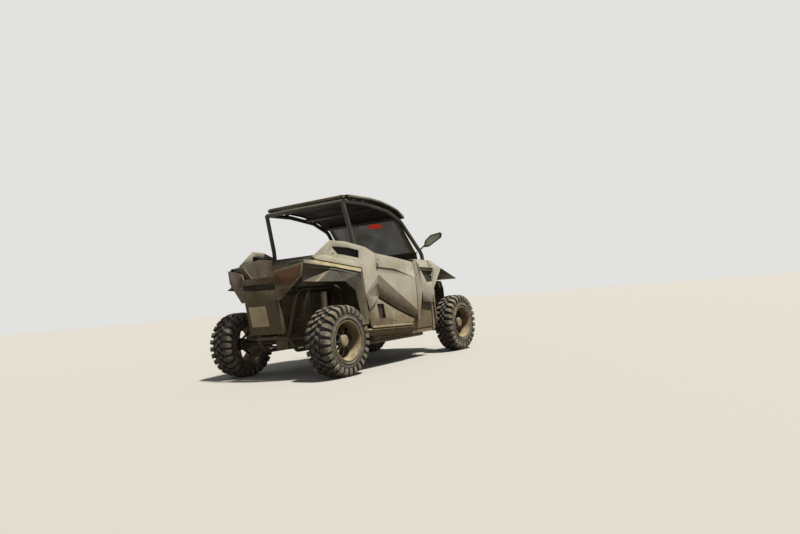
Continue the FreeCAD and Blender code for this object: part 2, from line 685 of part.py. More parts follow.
rear_shaft = half_shaft(REAR_AXLE, 80.3, S.rear_tyre_outer - S.hub_inset - 162.5)
front_shaft = half_shaft(FRONT_AXLE, 88, S.king_half - 24)
keep("half_shafts", shaped("half_shafts", Part.makeCompound(both_sides([rear_shaft, front_shaft]))))
keep("front_gearcase", shaped("front_gearcase", block((-87.7, FRONT_AXLE - 80, AXLE_HIGH - 70),
                                                      (87.7, FRONT_AXLE + 90, AXLE_HIGH + 70))))


# Floor tub: floor, toe board, side liners and the bulkhead behind the seats, moulded in one.
def tub():
    made = body("tub")
    side = [
        ("0 - 640", "floor_high"), ("590", "floor_high"), ("620", "floor_high + 780"),
        ("610", "floor_high + 780"), ("574", "floor_high + 130"), ("0 - 560", "floor_high + 130"),
        ("0 - 700", "floor_high + 480"), ("0 - 715", "floor_high + 480"),
    ]
    pad(made, "Shell", outline(made, "Side", "YZ_Plane", side), "(sill_half - 56) * 2", midplane=True)
    inside = [
        ("0 - 634", "floor_high + tub_wall"), ("584", "floor_high + tub_wall"),
        ("615", "floor_high + 790"), ("600", "floor_high + 790"), ("568", "floor_high + 140"),
        ("0 - 560", "floor_high + 140"), ("0 - 690", "floor_high + 490"), ("0 - 708", "floor_high + 490"),
    ]
    pocket(made, "Inside", outline(made, "Cavity", "YZ_Plane", inside), "(sill_half - 56 - tub_wall) * 2", midplane=True)
    return keep("tub", made)


tub()
doc.recompute()


# Roll cage: pillars and roof rails in one bend each side, a rear hoop and its braces.
def cage():
    radius = S.cage_tube / 2
    rail_x = S.roof_half - 44
    sides = [
        tube([(S.pillar_foot_half - 12, S.pillar_foot - 26, S.pillar_foot_high - 330),
              (S.pillar_foot_half - 10, S.pillar_foot + 4, S.pillar_foot_high),
              (rail_x, S.roof_front + 30, S.roof_front_high - 58),
              (rail_x, -20, S.roof_high - 127), (rail_x, 380, S.roof_high - 74),
              (rail_x, S.hoop_foot + 78, S.roof_high - 70)], radius, 160),
        tube([(590, 620, RAIL_HIGH), (S.hoop_foot_half + 2, S.hoop_foot - 8, 1180),
              (S.hoop_foot_half, S.hoop_foot + 4, 1336), (S.hoop_half, S.hoop_foot + 100, S.roof_high - 70)],
             radius, 120),
        rod((S.pillar_foot_half - 12, S.pillar_foot - 26, S.pillar_foot_high - 320),
            (S.rail_half + 86, FRONT_AXLE + 254, TOWER_HIGH), radius - 5),
    ]
    spans = [
        rod((-S.hoop_half, S.hoop_foot + 94, S.roof_high - 74), (S.hoop_half, S.hoop_foot + 94, S.roof_high - 74), radius),
        rod((-rail_x, S.roof_front + 69.5, S.roof_front_high - 20.9),
            (rail_x, S.roof_front + 69.5, S.roof_front_high - 20.9), radius - 3),
        rod((-S.hoop_foot_half, S.hoop_foot - 8, 1180), (S.hoop_foot_half, S.hoop_foot - 8, 1180), radius - 3),
        rod((-rail_x, 120, S.roof_high - 98), (rail_x, 120, S.roof_high - 98), radius - 3),
        rod((-S.pillar_foot_half + 10, S.pillar_foot, S.cowl_high - 60),
            (S.pillar_foot_half - 10, S.pillar_foot, S.cowl_high - 60), 18),
    ]
    for along in (440, 600):
        sides.append(block((540, along - 20, S.roof_high - 60), (572, along + 20, S.roof_high - 10.2 + (along - 600) / 100)))
    return fused(both_sides(sides) + spans).cut(nodes["frame"].Shape)


keep("roll_cage", shaped("roll_cage", cage()))


# Roof: a moulded shell with a turned-down rim, dropping at the front, its back corners cut off.
# Station along the vehicle, height of the top surface.
ROOF_LINE = [
    ("roof_back", "roof_high"), ("340", "roof_high - 4"), ("150", "roof_high - 20"), ("0 - 30", "roof_high - 56"),
    ("0 - 165", "roof_high - 94"), ("roof_front", "roof_front_high"),
]


def roof():
    made = body("roof")
    top = list(ROOF_LINE)
    under = [(along, f"{up} - roof_thick") for along, up in reversed(ROOF_LINE)]
    pad(made, "Shell", outline(made, "Side", "YZ_Plane", top + under), "roof_half * 2", midplane=True)
    skin = [(along, f"{up} - 8") for along, up in ROOF_LINE]
    deep = [(along, f"{up} - roof_thick - 20") for along, up in reversed(ROOF_LINE)]
    skin[0] = ("roof_back - 30", "roof_high - 8")
    deep[-1] = ("roof_back - 30", "roof_high - roof_thick - 20")
    skin[-1] = ("roof_front + 12", "roof_front_high - 1")
    deep[0] = ("roof_front + 12", "roof_front_high - roof_thick - 20")
    pocket(made, "Hollow", outline(made, "Inside", "YZ_Plane", skin + deep), "(roof_half - 20) * 2", midplane=True)
    for side in ("", "0 - "):
        corner = [
            (f"{side}roof_tail_half", "roof_back + 5"), (f"{side}(roof_half + 5)", "roof_back + 5"),
            (f"{side}(roof_half + 5)", "roof_corner"), (f"{side}roof_half", "roof_corner"),
            (f"{side}roof_tail_half", "roof_back"),
        ]
        pocket(made, "Corner", outline(made, "CornerCut", "XY_Plane", corner, "roof_high + 10"), "200")
    return keep("roof", made)


roof()


# Windscreen: a tall clear pane between the front pillars, leaning back.
def windscreen():
    low = (S.pillar_foot + 34, S.pillar_foot_high + 26)
    high = (S.roof_front + 62, S.roof_front_high + 2)
    run = Vector(0, high[0] - low[0], high[1] - low[1])
    square = Vector(0, -run.z, run.y).normalize() * S.glass_thick
    corners = [Vector(-S.glass_half, *low), Vector(S.glass_half, *low), Vector(S.glass_half - 12, *high),
               Vector(-S.glass_half + 12, *high)]
    return Part.Face(Part.makePolygon(corners + [corners[0]])).extrude(square)


keep("windscreen", shaped("windscreen", windscreen()))


# Doors: half doors as one thick moulding each, creased from the back edge to the front foot.
HINGE = (S.ridge_half + 2, S.door_back + 34 + S.shut_gap / 2)
HINGE_LOWS = (842, 1056)
HINGE_TALL = 30
HINGE_PIN = 3.5


def door_edge(up):
    """Where the door's back edge is at a height."""
    if up > S.ridge_back_high:
        share = (up - S.ridge_back_high) / (S.belt_back_high - S.ridge_back_high)
        return S.ridge_half + (S.belt_half - S.ridge_half) * share, S.door_back + 34 - 34 * share
    share = (S.ridge_back_high - up) / (S.ridge_back_high - S.door_low_back)
    return S.ridge_half - (S.ridge_half - S.sill_half + 8) * share, S.door_back + 34 - 26 * share


def leaf(end, low, tall):
    """A hinge leaf: a plate from the pin to the panel, rounded about the pin."""
    pin = Vector(*HINGE, low)
    run = Vector(end[0] - HINGE[0], end[1] - HINGE[1], 0)
    square = Vector(-run.y, run.x, 0).normalize() * 2.5
    ring = [pin + square, pin + run + square, pin + run - square, pin - square]
    plate_part = Part.Face(Part.makePolygon(ring + [ring[0]])).extrude(Vector(0, 0, tall))
    return [plate_part, Part.makeCylinder(S.hinge_radius, tall, pin)]


def door():
    back, front = S.door_back, S.door_front
    ledge = S.ridge_half - S.crease_step
    foot = S.sill_half - S.foot_in
    points = {
        "top_back": (S.belt_half, back, S.belt_back_high), "top_mid": (S.belt_half + 10, 112, S.belt_back_high - 46),
        "top_front": (S.belt_half + 20, front, S.belt_front_high),
        "band_back": (S.belt_half + 37, back + 20, 1052), "band_mid": (S.belt_half + 43, 190, 1028),
        "band_front": (S.belt_half + 37, front - 3, 926),
        "tuck_back": (S.belt_half + 26, back + 22, 1040), "tuck_mid": (S.belt_half + 34, 196, 1010),
        "front": (ledge, front - 6, 780), "step_front": (ledge, front + 8, S.ridge_front_high + 12),
        "ridge_front": (S.ridge_half, front + 12, S.ridge_front_high),
        "ridge_back": (S.ridge_half, back + 34, S.ridge_back_high),
        "step_back": (ledge, back + 33, S.ridge_back_high + 10),
        "low_back": (foot, back + 8, S.door_low_back), "low_mid": (foot, 138, 592),
        "low_front": (foot + 6, front + 22, S.door_low_front),
    }
    faces = [
        "top_back band_back band_mid band_front top_front top_mid", "band_back tuck_back tuck_mid band_front band_mid",
        "tuck_back step_back step_front front band_front tuck_mid", "step_back ridge_back ridge_front step_front",
        "ridge_back low_back low_mid low_front ridge_front",
    ]
    skin = moulding(points, faces, S.door_thick)
    parts = [skin]
    bores = []
    for low in HINGE_LOWS:
        across, along = door_edge(low + HINGE_TALL / 2)
        parts += leaf((across - 18, along - 16), low, HINGE_TALL)
        bores.append(Part.makeCylinder(HINGE_PIN + S.running_gap, HINGE_TALL + 4, Vector(*HINGE, low - 2)))
    whole = fused(parts)
    for bore in bores:
        whole = whole.cut(bore)
    return whole


door_left = keep("door_left", shaped("door_left", door()))
keep("door_right", other_side("door_right", door_left))


# Quarter panels: the painted skin from the bed's back corner down behind the door to the sill.
# An air intake and a step box are cut into it; the intake's edge carries a ledge.
INTAKE = [(1005, 1276), (800, 1262), (672, 1232), (690, 1150), (880, 1188), (945, 1196)]
STEP_BOX = [(524, 668), (396, 660), (396, 508), (524, 508)]


def level_across(first, second, third, along, up):
    """How far across a plane through three corners is at a place on the vehicle's side."""
    first, second, third = Vector(*first), Vector(*second), Vector(*third)
    square = (second - first).cross(third - first)
    return first.x - (square.y * (along - first.y) + square.z * (up - first.z)) / square.x


def punch(places):
    """A cutter through the right-hand skin along a loop given as seen from the side."""
    ring = [Vector(450, along, up) for along, up in places]
    return Part.Face(Part.makePolygon(ring + [ring[0]])).extrude(Vector(400, 0, 0))


def tray(places, plane, deep, skin):
    """A dished liner behind a hole in a skin, its rim trimmed to the skin's inner face."""
    ring = [Vector(level_across(*plane, along, up), along, up) for along, up in places]
    middle = sum(ring, Vector(0, 0, 0)) * (1 / len(ring))
    inward = (Vector(*plane[1]) - Vector(*plane[0])).cross(Vector(*plane[2]) - Vector(*plane[0])).normalize()
    if inward.x > 0:
        inward = inward * -1
    wide = [middle + (corner - middle) * 1.14 + inward * 4 for corner in ring]
    tight = [middle + (corner - middle) * 1.03 - inward * 20 for corner in ring]
    dish = Part.Face(Part.makePolygon(wide + [wide[0]])).extrude(inward * (deep - 4))
    dish = dish.cut(Part.Face(Part.makePolygon(tight + [tight[0]])).extrude(inward * (deep + 15)))
    return max(dish.cut(skin).cut(nodes["roll_cage"].Shape).Solids, key=lambda solid: solid.Volume)


def quarter_points():
    gap = S.shut_gap
    back = S.door_back
    foot = S.sill_half - S.foot_in
    edge = S.sill_half + 5
    return {
        "rear": (523, 1247, 1179), "peak": (557, 1023, 1337), "crest": (590, 821, 1326),
        "shoulder": (655, 577, 1267), "front": (S.belt_half + 2, back + gap, S.belt_back_high + 2),
        "shut": (S.ridge_half, back + 34 + gap, S.ridge_back_high), "turn": (foot + 2, back + 8 + gap, S.door_low_back - 8),
        "bend": (edge - 4, back + 101, 688), "waist": (edge, 694, 610), "post": (edge, 742, 765),
        "under": (foot - 10, 138, 592 - gap - 6), "toe": (foot - 4, S.door_front + 26, S.door_low_front - gap - 6),
        "tuck_turn": (foot - 12, back + 4, S.door_low_back - 18), "tuck_bend": (edge - 18, back + 99, 678),
        "tuck_waist": (edge - 12, 704, 600), "notch": (edge - 10, 716, 561),
        "heel_in": (edge - 22, 655, S.trim_high + 44), "nose_in": (edge - 22, S.door_front + 104, S.trim_high + 16),
        "nose": (edge, S.door_front + 100, S.trim_high), "heel": (edge, 652, S.trim_high + 26),
        "strip_front": (690, 701, 1049), "strip_rear": (535, 1234, 1151),
        "ridge_front": (682, 665, 1095), "ridge_rear": (562, 1082, 1186),
        "ledge_front": (666, 668, 1100), "ledge_rear": (547, 1090, 1191),
    }


def quarter():
    points = quarter_points()
    faces = [
        "rear ledge_rear ledge_front shoulder crest peak", "rear ridge_rear ridge_front ledge_front ledge_rear",
        "rear strip_rear strip_front ridge_front ridge_rear",
        "shoulder ledge_front ridge_front shut front", "ridge_front strip_front post shut", "post waist bend turn shut",
        "bend waist tuck_waist tuck_bend", "turn bend tuck_bend tuck_turn",
        "tuck_waist notch heel_in nose_in toe under tuck_turn tuck_bend", "heel_in heel nose nose_in",
    ]
    skin = moulding(points, faces, S.skin_wall)
    parts = [skin.cut(punch(INTAKE)).cut(punch(STEP_BOX)), block((S.bed_half + 0.3, 1180, 1145), (537, 1216, 1160))]
    for low in HINGE_LOWS:
        across, along = door_edge(low + HINGE_TALL / 2)
        for step in (-6.5, HINGE_TALL + 0.5):
            parts += leaf((across - 4, along + S.shut_gap + 20), low + step, 6)
        parts.append(Part.makeCylinder(HINGE_PIN, HINGE_TALL + 13, Vector(*HINGE, low - 6.5)))
    return fused(parts)


quarter_left = quarter()
together("quarters", both_sides_of("quarter", quarter_left))


# Rear flares: dusty plastic over the wheel, from the tail's corner to the foot of the arch.
def fin(stations, out, tall):
    """A ledge that runs along the side through a few stations."""
    rings = []
    for across, along, up in stations:
        ring = [Vector(across - 12, along, up), Vector(across + out, along, up - 3),
                Vector(across + out, along, up - 3 - tall), Vector(across - 12, along, up - tall)]
        rings.append(Part.makePolygon(ring + [ring[0]]))
    return Part.makeLoft(rings, True, True)


def flare():
    points = {
        "tail_in": (505, 1368, 1150), "mid_in": (533, 1240, 1140), "front_in": (688, 707, 1040),
        "tail": (530, 1390, 1112), "mid": (650, 1110, 1066), "front": (742, 795, 1000),
        "lip": (745, 802, 949), "arch_top": (740, 1054, 916), "arch_bend": (740, 899, 822),
        "arch_front": (740, 846, 600), "foot": (740, 800, 470), "tail_low": (500, 1394, 940), "arch_back": (640, 1330, 926),
        "foot_in": (746, 728, 470), "waist_in": (746, 728, 612), "post_in": (748, 752, 765),
    }
    faces = [
        "front_in mid_in tail_in tail mid front",
        "tail tail_low arch_back arch_top arch_bend lip front mid",
        "lip arch_bend arch_front foot foot_in waist_in post_in",
        "post_in front_in front lip",
    ]
    bracket = block((S.bed_half + 0.3, 1260, 1092), (548, 1290, 1114))
    upper = fin([(530, 1390, 1115), (650, 1110, 1069), (742, 795, 1003)], 13, 6)
    lower = fin([(527, 1390, 1084), (668, 1101, 1036), (744, 799, 968)], 13, 6)
    return fused([moulding(points, faces, S.skin_wall), bracket, upper, lower])


together("rear_flares", both_sides_of("flare", flare()))


# Sills: the dusty plastic below each door, from the quarter's heel to the front arch.
def sill():
    points = {
        "top_back": (S.sill_half - 2, 760, S.trim_high + 10), "top_mid": (S.sill_half + 2, 650, S.trim_high + 6),
        "top_front": (S.sill_half + 1, S.door_front + 106, S.trim_high - 22),
        "low_front": (S.sill_half - 26, S.door_front + 60, S.sill_high - 16),
        "low_mid": (S.sill_half - 20, 300, S.sill_high - 4), "low_back": (S.sill_half - 20, 766, S.sill_high + 14),
    }
    skin = moulding(points, ["top_back low_back low_mid low_front top_front top_mid"], 34)
    return skin.cut(nodes["tub"].Shape)


def kick_panel():
    """The black liner behind each front opening, from the sill up under the fender."""
    side = S.sill_half - 56 + 0.3
    ring = [Vector(side, along, up) for along, up in
            ((-598, 345), (-150, 345), (-190, 470), (-250, 620), (-350, 740), (-600, 700))]
    return Part.Face(Part.makePolygon(ring + [ring[0]])).extrude(Vector(8, 0, 0)).cut(nodes["roll_cage"].Shape)


together("sills", both_sides_of("sill", sill()) + both_sides_of("kick", kick_panel()))


# Bed: an open tray behind the seats with a ribbed floor and a front wall that leans forward.
def bed():
    made = body("bed")
    side = [
        ("bed_front", "bed_floor - bed_wall"), ("tail_back - 135", "bed_floor - bed_wall"),
        ("tail_back - 120", "tail_tip_high + 20"), ("bed_front + 430", "tail_tip_high + 52"),
        ("bed_front + 230", "bed_floor + 330"), ("bed_front - 40", "bed_floor + 330"),
    ]
    pad(made, "Tray", outline(made, "Side", "YZ_Plane", side), "bed_half * 2", midplane=True)
    inside = [
        ("bed_front + bed_wall + 130", "bed_floor"), ("tail_back - 135 - bed_wall", "bed_floor"),
        ("tail_back - 120 - bed_wall", "tail_tip_high + 60"), ("tail_back - 120 - bed_wall", "bed_floor + 400"),
        ("bed_front + 4", "bed_floor + 400"), ("bed_front + 4", "bed_floor + 300"),
    ]
    pocket(made, "Load space", outline(made, "Cavity", "YZ_Plane", inside), "(bed_half - bed_wall) * 2", midplane=True)
    notch = [
        ("0 - (tail_half + 10)", "tail_high"), ("tail_half + 10", "tail_high"),
        ("tail_tip_half - 150", "tail_tip_high + 80"), ("0 - (tail_tip_half - 150)", "tail_tip_high + 80"),
    ]
    pocket(made, "Tail notch", outline(made, "TailNotch", "XZ_Plane", notch, "0 - (tail_back - 100)"), "80", backwards=True)
    for across in ("anchor_across / 2", "0 - anchor_across / 2"):
        for along in ("anchor_middle - anchor_along / 2", "anchor_middle + anchor_along / 2"):
            hole = circle(made, "Anchor", "XY_Plane", across, along, "anchor_radius", "bed_floor + 1")
            pocket(made, "Anchor hole", hole, "bed_wall + 2")
    return keep("bed", made)


bed()
doc.recompute()


# Tail: one folded fascia with a flat middle and swept sides that carry the lamps.
SWEEP = 0.287


def swept(across):
    return S.tail_back - max(across - S.tail_half, 0) * SWEEP


def tail_points():
    return mirrored_points({
        "top": (S.tail_half, S.tail_back, S.tail_high), "rise": (232, swept(232), S.tail_high + 52),
        "tip": (S.tail_tip_half, swept(S.tail_tip_half), S.tail_tip_high),
        "tip_low": (S.tail_tip_half - 20, swept(S.tail_tip_half - 20), 992),
        "cheek": (360, swept(360), 858), "chin": (270, swept(270), 779), "low": (S.tail_half, S.tail_back, 779),
    })


def tail_panel():
    points = tail_points()
    faces = ["top top' low' low", "top low chin cheek tip_low tip rise",
             "top' rise' tip' tip_low' cheek' chin' low'"]
    skin = moulding(points, faces, S.skin_wall)
    slot = block((-S.tail_half - 24, S.tail_back - 60, 886), (S.tail_half + 24, S.tail_back + 10, 950))
    hood = lamp_shape(0.3, 60)
    bracket = block((198, S.tail_back - 134, 958), (224, S.tail_back - 4, 1000)).cut(nodes["bed"].Shape)
    skin = fused([skin, bracket, flipped(bracket)])
    return skin.cut(slot).cut(hood).cut(flipped(hood))


def lamp_shape(grow, deep):
    """A lamp's outline on the swept side, as a slab that sinks into the fascia."""
    corners = [(236, 1052), (488, 1096), (466, 1000), (372, 918), (262, 948)]
    middle = (sum(c[0] for c in corners) / 5, sum(c[1] for c in corners) / 5)
    ring = []
    for across, up in corners:
        away = Vector(across - middle[0], 0, up - middle[1]).normalize() * grow
        ring.append(Vector(across + away.x, swept(across + away.x) + 4, up + away.z))
    face = Part.Face(Part.makePolygon(ring + [ring[0]]))
    return face.extrude(Vector(-SWEEP, -1, 0).normalize() * deep)


keep("tail_panel", shaped("tail_panel", tail_panel()))
together("tail_lamps", both_sides_of("tail_lamp", lamp_shape(0, 26)))


# Plate hanger: a moulded board below the tail with a rail up each edge, and the blank plate on it.
def hanger():
    top = (S.tail_back - 8, 778.5)
    low = (S.tail_back - 72, S.hanger_low)
    points = mirrored_points({
        "top": (S.hanger_half - 14, *top), "low": (S.hanger_half, *low),
        "edge_top": (S.hanger_half - 2, top[0] - 40, top[1]), "edge_low": (S.hanger_half + 12, low[0] - 40, low[1] + 14),
    })
    faces = ["top top' low' low", "edge_top top low edge_low", "top' edge_top' edge_low' low'"]
    return moulding(points, faces, 6)


PLATE_MIDDLE = 52


def plate():
    lean = Vector(0, -64, S.hanger_low - 778.5).normalize()
    square = Vector(0, -lean.z, lean.y)
    top = Vector(PLATE_MIDDLE, S.tail_back - 8, 778.5) + lean * 46
    corner = top - Vector(S.plate_wide / 2, 0, 0) + square * 0.3
    side = Vector(S.plate_wide, 0, 0)
    ring = [corner, corner + side, corner + side + lean * S.plate_tall, corner + lean * S.plate_tall]
    return Part.Face(Part.makePolygon(ring + [ring[0]])).extrude(square * 3)


keep("plate_hanger", shaped("plate_hanger", hanger()))
keep("plate", shaped("plate", plate()))


# Hood: a raised centre panel between the fenders, from the windscreen's foot to the nose.
def hood():
    points = mirrored_points({
        "back": (S.hood_half, -600, S.cowl_high - 22), "back_rib": (S.hood_half - 150, -606, S.cowl_high + 6),
        "middle": (S.hood_half + 4, -930, S.cowl_high - 92), "middle_rib": (S.hood_half - 170, -950, S.cowl_high - 50),
        "front": (S.hood_half - 95, -1340, 916), "front_rib": (S.hood_half - 230, -1360, 946),
    })
    faces = [
        "back_rib middle_rib middle_rib' back_rib'", "middle_rib front_rib front_rib' middle_rib'",
        "back middle middle_rib back_rib", "middle front front_rib middle_rib",
        "back' back_rib' middle_rib' middle'", "middle' middle_rib' front_rib' front'",
    ]
    skin = moulding(points, faces, S.skin_wall)
    tabs = [block((side * 200 - 20, S.pillar_foot - 8, S.cowl_high - 41.7), (side * 200 + 20, S.pillar_foot + 8, S.cowl_high - 2))
            for side in (-1, 1)]
    return fused([skin] + tabs)


keep("hood", shaped("hood", hood()))


# Front fenders: flat tops with a drop behind the wheel, a scooped side and a lip over the tyre.
def fender_points():
    inner = S.hood_half + 5
    edge = S.sill_half
    return {
        "cowl_in": (inner, -575, S.cowl_high - 26), "mid_in": (inner + 4, -930, S.cowl_high - 96),
        "nose_in": (inner - 92, -1338, 905),
        "cowl": (S.fender_half, -318, S.fender_high + 15), "crown": (S.fender_half, -646, S.fender_high),
        "tip": (S.fender_half, -884, S.fender_tip_high), "lip": (S.ridge_half + 7, -1121, 896),
        "nose": (600, -1372, 903),
        "band_back": (edge - 10, -330, 1046), "band_front": (edge - 18, -644, 1030),
        "vent_back": (edge - 36, -336, 1038), "vent_front": (edge - 44, -640, 1022),
        "side_back": (edge - 14, -372, 905), "side_low": (edge - 6, -500, 806), "side_front": (edge - 2, -603, 790),
        "guard": (edge, -588, 700), "panel_front": (edge - 4, -582, 628), "panel_back": (edge - 10, -356, 640),
        "leg": (edge - 5, -353, 787), "foot": (edge - 5, -236, 402),
        "foot_back": (edge - 2, S.door_front + 6, 470), "jamb": (edge, S.door_front - 18, 780),
        "belt": (S.belt_half + 19, S.door_front - 12, S.belt_front_high),
    }


VENT = [(-392, 1008), (-470, 862), (-600, 872), (-640, 996)]


def fender():
    faces = [
        "cowl_in cowl crown mid_in", "mid_in crown tip", "mid_in tip lip nose nose_in",
        "crown cowl band_back band_front tip", "band_front band_back vent_back vent_front",
        "tip band_front vent_front vent_back side_back leg side_low side_front",
        "cowl belt jamb leg side_back vent_back band_back",
        "leg panel_back panel_front guard side_front side_low", "jamb foot_back foot leg",
    ]
    pillar = tube([(S.pillar_foot_half - 12, S.pillar_foot - 26, S.pillar_foot_high - 330),
                   (S.pillar_foot_half - 10, S.pillar_foot + 4, S.pillar_foot_high),
                   (S.roof_half - 44, S.roof_front + 30, S.roof_front_high - 58)], S.cage_tube / 2 + 6, 160)
    bar = rod((0, S.pillar_foot, S.cowl_high - 60), (S.pillar_foot_half, S.pillar_foot, S.cowl_high - 60), 24)
    skin = moulding(fender_points(), faces, S.skin_wall).cut(pillar).cut(bar).cut(punch(VENT))
    bracket = block((S.pillar_foot_half - 12, -636, 940), (704, -600, 958)).cut(nodes["roll_cage"].Shape)
    ring = [Vector(S.sill_half - 20, along, up) for along, up in ((-592, 706), (-574, 706), (-594, 362), (-610, 362))]
    guard = Part.Face(Part.makePolygon(ring + [ring[0]])).extrude(Vector(23, 0, 0))
    return fused([skin, bracket, guard])


fender_left = fender()
together("fenders", both_sides_of("fender", fender_left))


# Nose: the front fascia around the grille and lamps, with the skid plate folded under it.
def nose_points():
    return mirrored_points({
        "top": (S.hood_half - 100, -1366, 900), "brow": (390, -1380, 884), "cheek": (404, -1402, 780),
        "jaw": (385, -1440, 640), "chin": (260, S.nose_front - 10, 560), "skid": (225, S.nose_front + 96, 352),
    })


def nose():
    faces = ["top' top chin chin'", "top brow cheek jaw chin", "top' chin' jaw' cheek' brow'",
             "chin skid skid' chin'"]
    skin = moulding(nose_points(), faces, S.skin_wall)
    skin = fused([skin, block((-80, S.nose_front + 98, 354), (80, FRONT_AXLE - 190 - S.rail_tube / 2 - 0.5, 370))])
    mouth = [(210, 850), (226, 640), (-226, 640), (-210, 850)]
    ring = [Vector(across, -1700, up) for across, up in mouth]
    skin = skin.cut(Part.Face(Part.makePolygon(ring + [ring[0]])).extrude(Vector(0, 500, 0)))
    for side in (1, -1):
        skin = skin.cut(headlamp_shape(0.3, side))
    return skin


def headlamp_shape(grow, side):
    corners = [(262, 866), (366, 858), (376, 796), (284, 768)]
    middle = (sum(c[0] for c in corners) / 4, sum(c[1] for c in corners) / 4)
    ring = []
    for across, up in corners:
        away = Vector(across - middle[0], 0, up - middle[1]).normalize() * grow
        ring.append(Vector(side * (across + away.x), -1414 - grow * 40, up + away.z))
    return Part.Face(Part.makePolygon(ring + [ring[0]])).extrude(Vector(0, 70 + grow * 40, 0))


def grille_slab(across, low, high, deep):
    """A slanted bar or post just behind the fascia's slope, between two heights."""
    ring = []
    for up, back in ((low, 0), (high, 0), (high, deep), (low, deep)):
        ring.append(Vector(across[0], -1366 - (900 - up) * 114 / 340 + 9.8 + back, up))
    return Part.Face(Part.makePolygon(ring + [ring[0]])).extrude(Vector(across[1] - across[0], 0, 0))


def grille():
    bars = [grille_slab((-222, 222), up, up + 12, 16) for up in range(650, 846, 39)]
    posts = [grille_slab((across - 5, across + 5), 628, 862, 12) for across in (-216, -108, 0, 108, 216)]
    return fused(bars + posts)


def side_liners():
    """Dished black liners behind each side's intake, step box and fender vent."""
    skin = quarter_points()
    front = fender_points()
    upper = (skin["crest"], skin["shoulder"], skin["ledge_rear"])
    lower = (skin["tuck_bend"], skin["heel_in"], skin["under"])
    vent = (front["vent_front"], front["vent_back"], front["side_low"])
    liners = [tray(INTAKE, upper, 52, quarter_left), tray(STEP_BOX, lower, 34, quarter_left),
              tray(VENT, vent, 26, fender_left)]
    return both_sides(liners)


keep("nose", shaped("nose", nose()))
keep("grille", shaped("grille", Part.makeCompound([grille()] + side_liners())))
together("headlamps", [shaped("headlamp_left", headlamp_shape(0, 1)), shaped("headlamp_right", headlamp_shape(0, -1))])


# Dash: a moulded shelf across the cab below the windscreen, with a pod before the driver.
def dash():
    made = body("dash")
    side = [
        ("pillar_foot + 18.3", "cowl_high - 56"), ("0 - 440", "cowl_high - 60"), ("0 - 352", "cowl_high - 84"),
        ("0 - 340", "cowl_high - 150"), ("0 - 430", "cowl_high - 340"), ("0 - 480", "cowl_high - 330"),
        ("pillar_foot + 18.3", "cowl_high - 110"),
    ]
    pad(made, "Shelf", outline(made, "Side", "YZ_Plane", side), "(pillar_foot_half - 68) * 2", midplane=True)
    return keep("dash", made)


dash()
doc.recompute()


# Steering: column and a three-spoke wheel before the driver.
COLUMN = Vector(0, math.cos(math.radians(28)), math.sin(math.radians(28)))
WHEEL_HUB = Vector(S.seat_half, -190, 1000)


def steering_wheel():
    ring = Part.makeTorus(S.wheel_rim, S.grip_radius)
    hub = Part.makeCylinder(38, 34, Vector(0, 0, -34))
    bore = Part.makeCylinder(10 + S.running_gap, 30, Vector(0, 0, -40))
    spokes = []
    for angle in (90, 210, 330):
        spoke = block((20, -13, -20), (S.wheel_rim - 4, 13, -10))
        spoke.rotate(Vector(0, 0, 0), Vector(0, 0, 1), angle + 60)
        spokes.append(spoke)
    whole = fused([hub, ring] + [s.copy() for s in spokes]).cut(bore)
    whole.Placement = Placement(WHEEL_HUB, Rotation(Vector(0, 0, 1), COLUMN))
    return whole


def column():
    start = WHEEL_HUB - COLUMN * 14
    shroud = rod(WHEEL_HUB - COLUMN * 40, WHEEL_HUB - COLUMN * 300, 24).cut(nodes["dash"].Shape)
    near = [part for part in shroud.Solids if part.BoundBox.YMax > WHEEL_HUB.y - 60]
    return fused([rod(start, WHEEL_HUB - COLUMN * 140, 10)] + near)


keep("steering_wheel", shaped("steering_wheel", steering_wheel()))
keep("steering_column", shaped("steering_column", column()))


# Seats: a shell each, with a plain cushion and back pad that sit in it.
def seat_shell(centre):
    half = S.seat_wide / 2
    front = S.seat_front
    pan = block((centre - half, front, S.seat_high - 130), (centre + half, front + 470, S.seat_high - 116))
    feet = [block((centre + side * (half - 60) - 15, front + 20, S.floor_high + S.tub_wall + 0.3),
                  (centre + side * (half - 60) + 15, front + 440, S.seat_high - 130)) for side in (-1, 1)]
    ring = [Vector(centre - half, front + 440, S.seat_high - 130), Vector(centre - half, front + 470, S.seat_high - 130),
            Vector(centre - half, front + 588, S.seat_high + 640), Vector(centre - half, front + 572, S.seat_high + 644)]
    back = Part.Face(Part.makePolygon(ring + [ring[0]])).extrude(Vector(S.seat_wide, 0, 0))
    return fused([pan, back] + feet)


def seat_cushion(centre):
    half = S.seat_wide / 2 - 8
    return block((centre - half, S.seat_front + 2, S.seat_high - 115.7), (centre + half, S.seat_front + 424, S.seat_high))


def seat_back(centre):
    half = S.seat_wide / 2 - 18
    front = S.seat_front
    ring = [Vector(centre - half, front + 346, S.seat_high + 6), Vector(centre - half, front + 462.88, S.seat_high + 6),
            Vector(centre - half, front + 569.99, S.seat_high + 634), Vector(centre - half, front + 480, S.seat_high + 640)]
    return Part.Face(Part.makePolygon(ring + [ring[0]])).extrude(Vector(2 * half, 0, 0))


for name, maker in (("seat_shells", seat_shell), ("seat_cushions", seat_cushion), ("seat_backs", seat_back)):
    together(name, [shaped(name + "_left", maker(S.seat_half)), shaped(name + "_right", maker(-S.seat_half))])


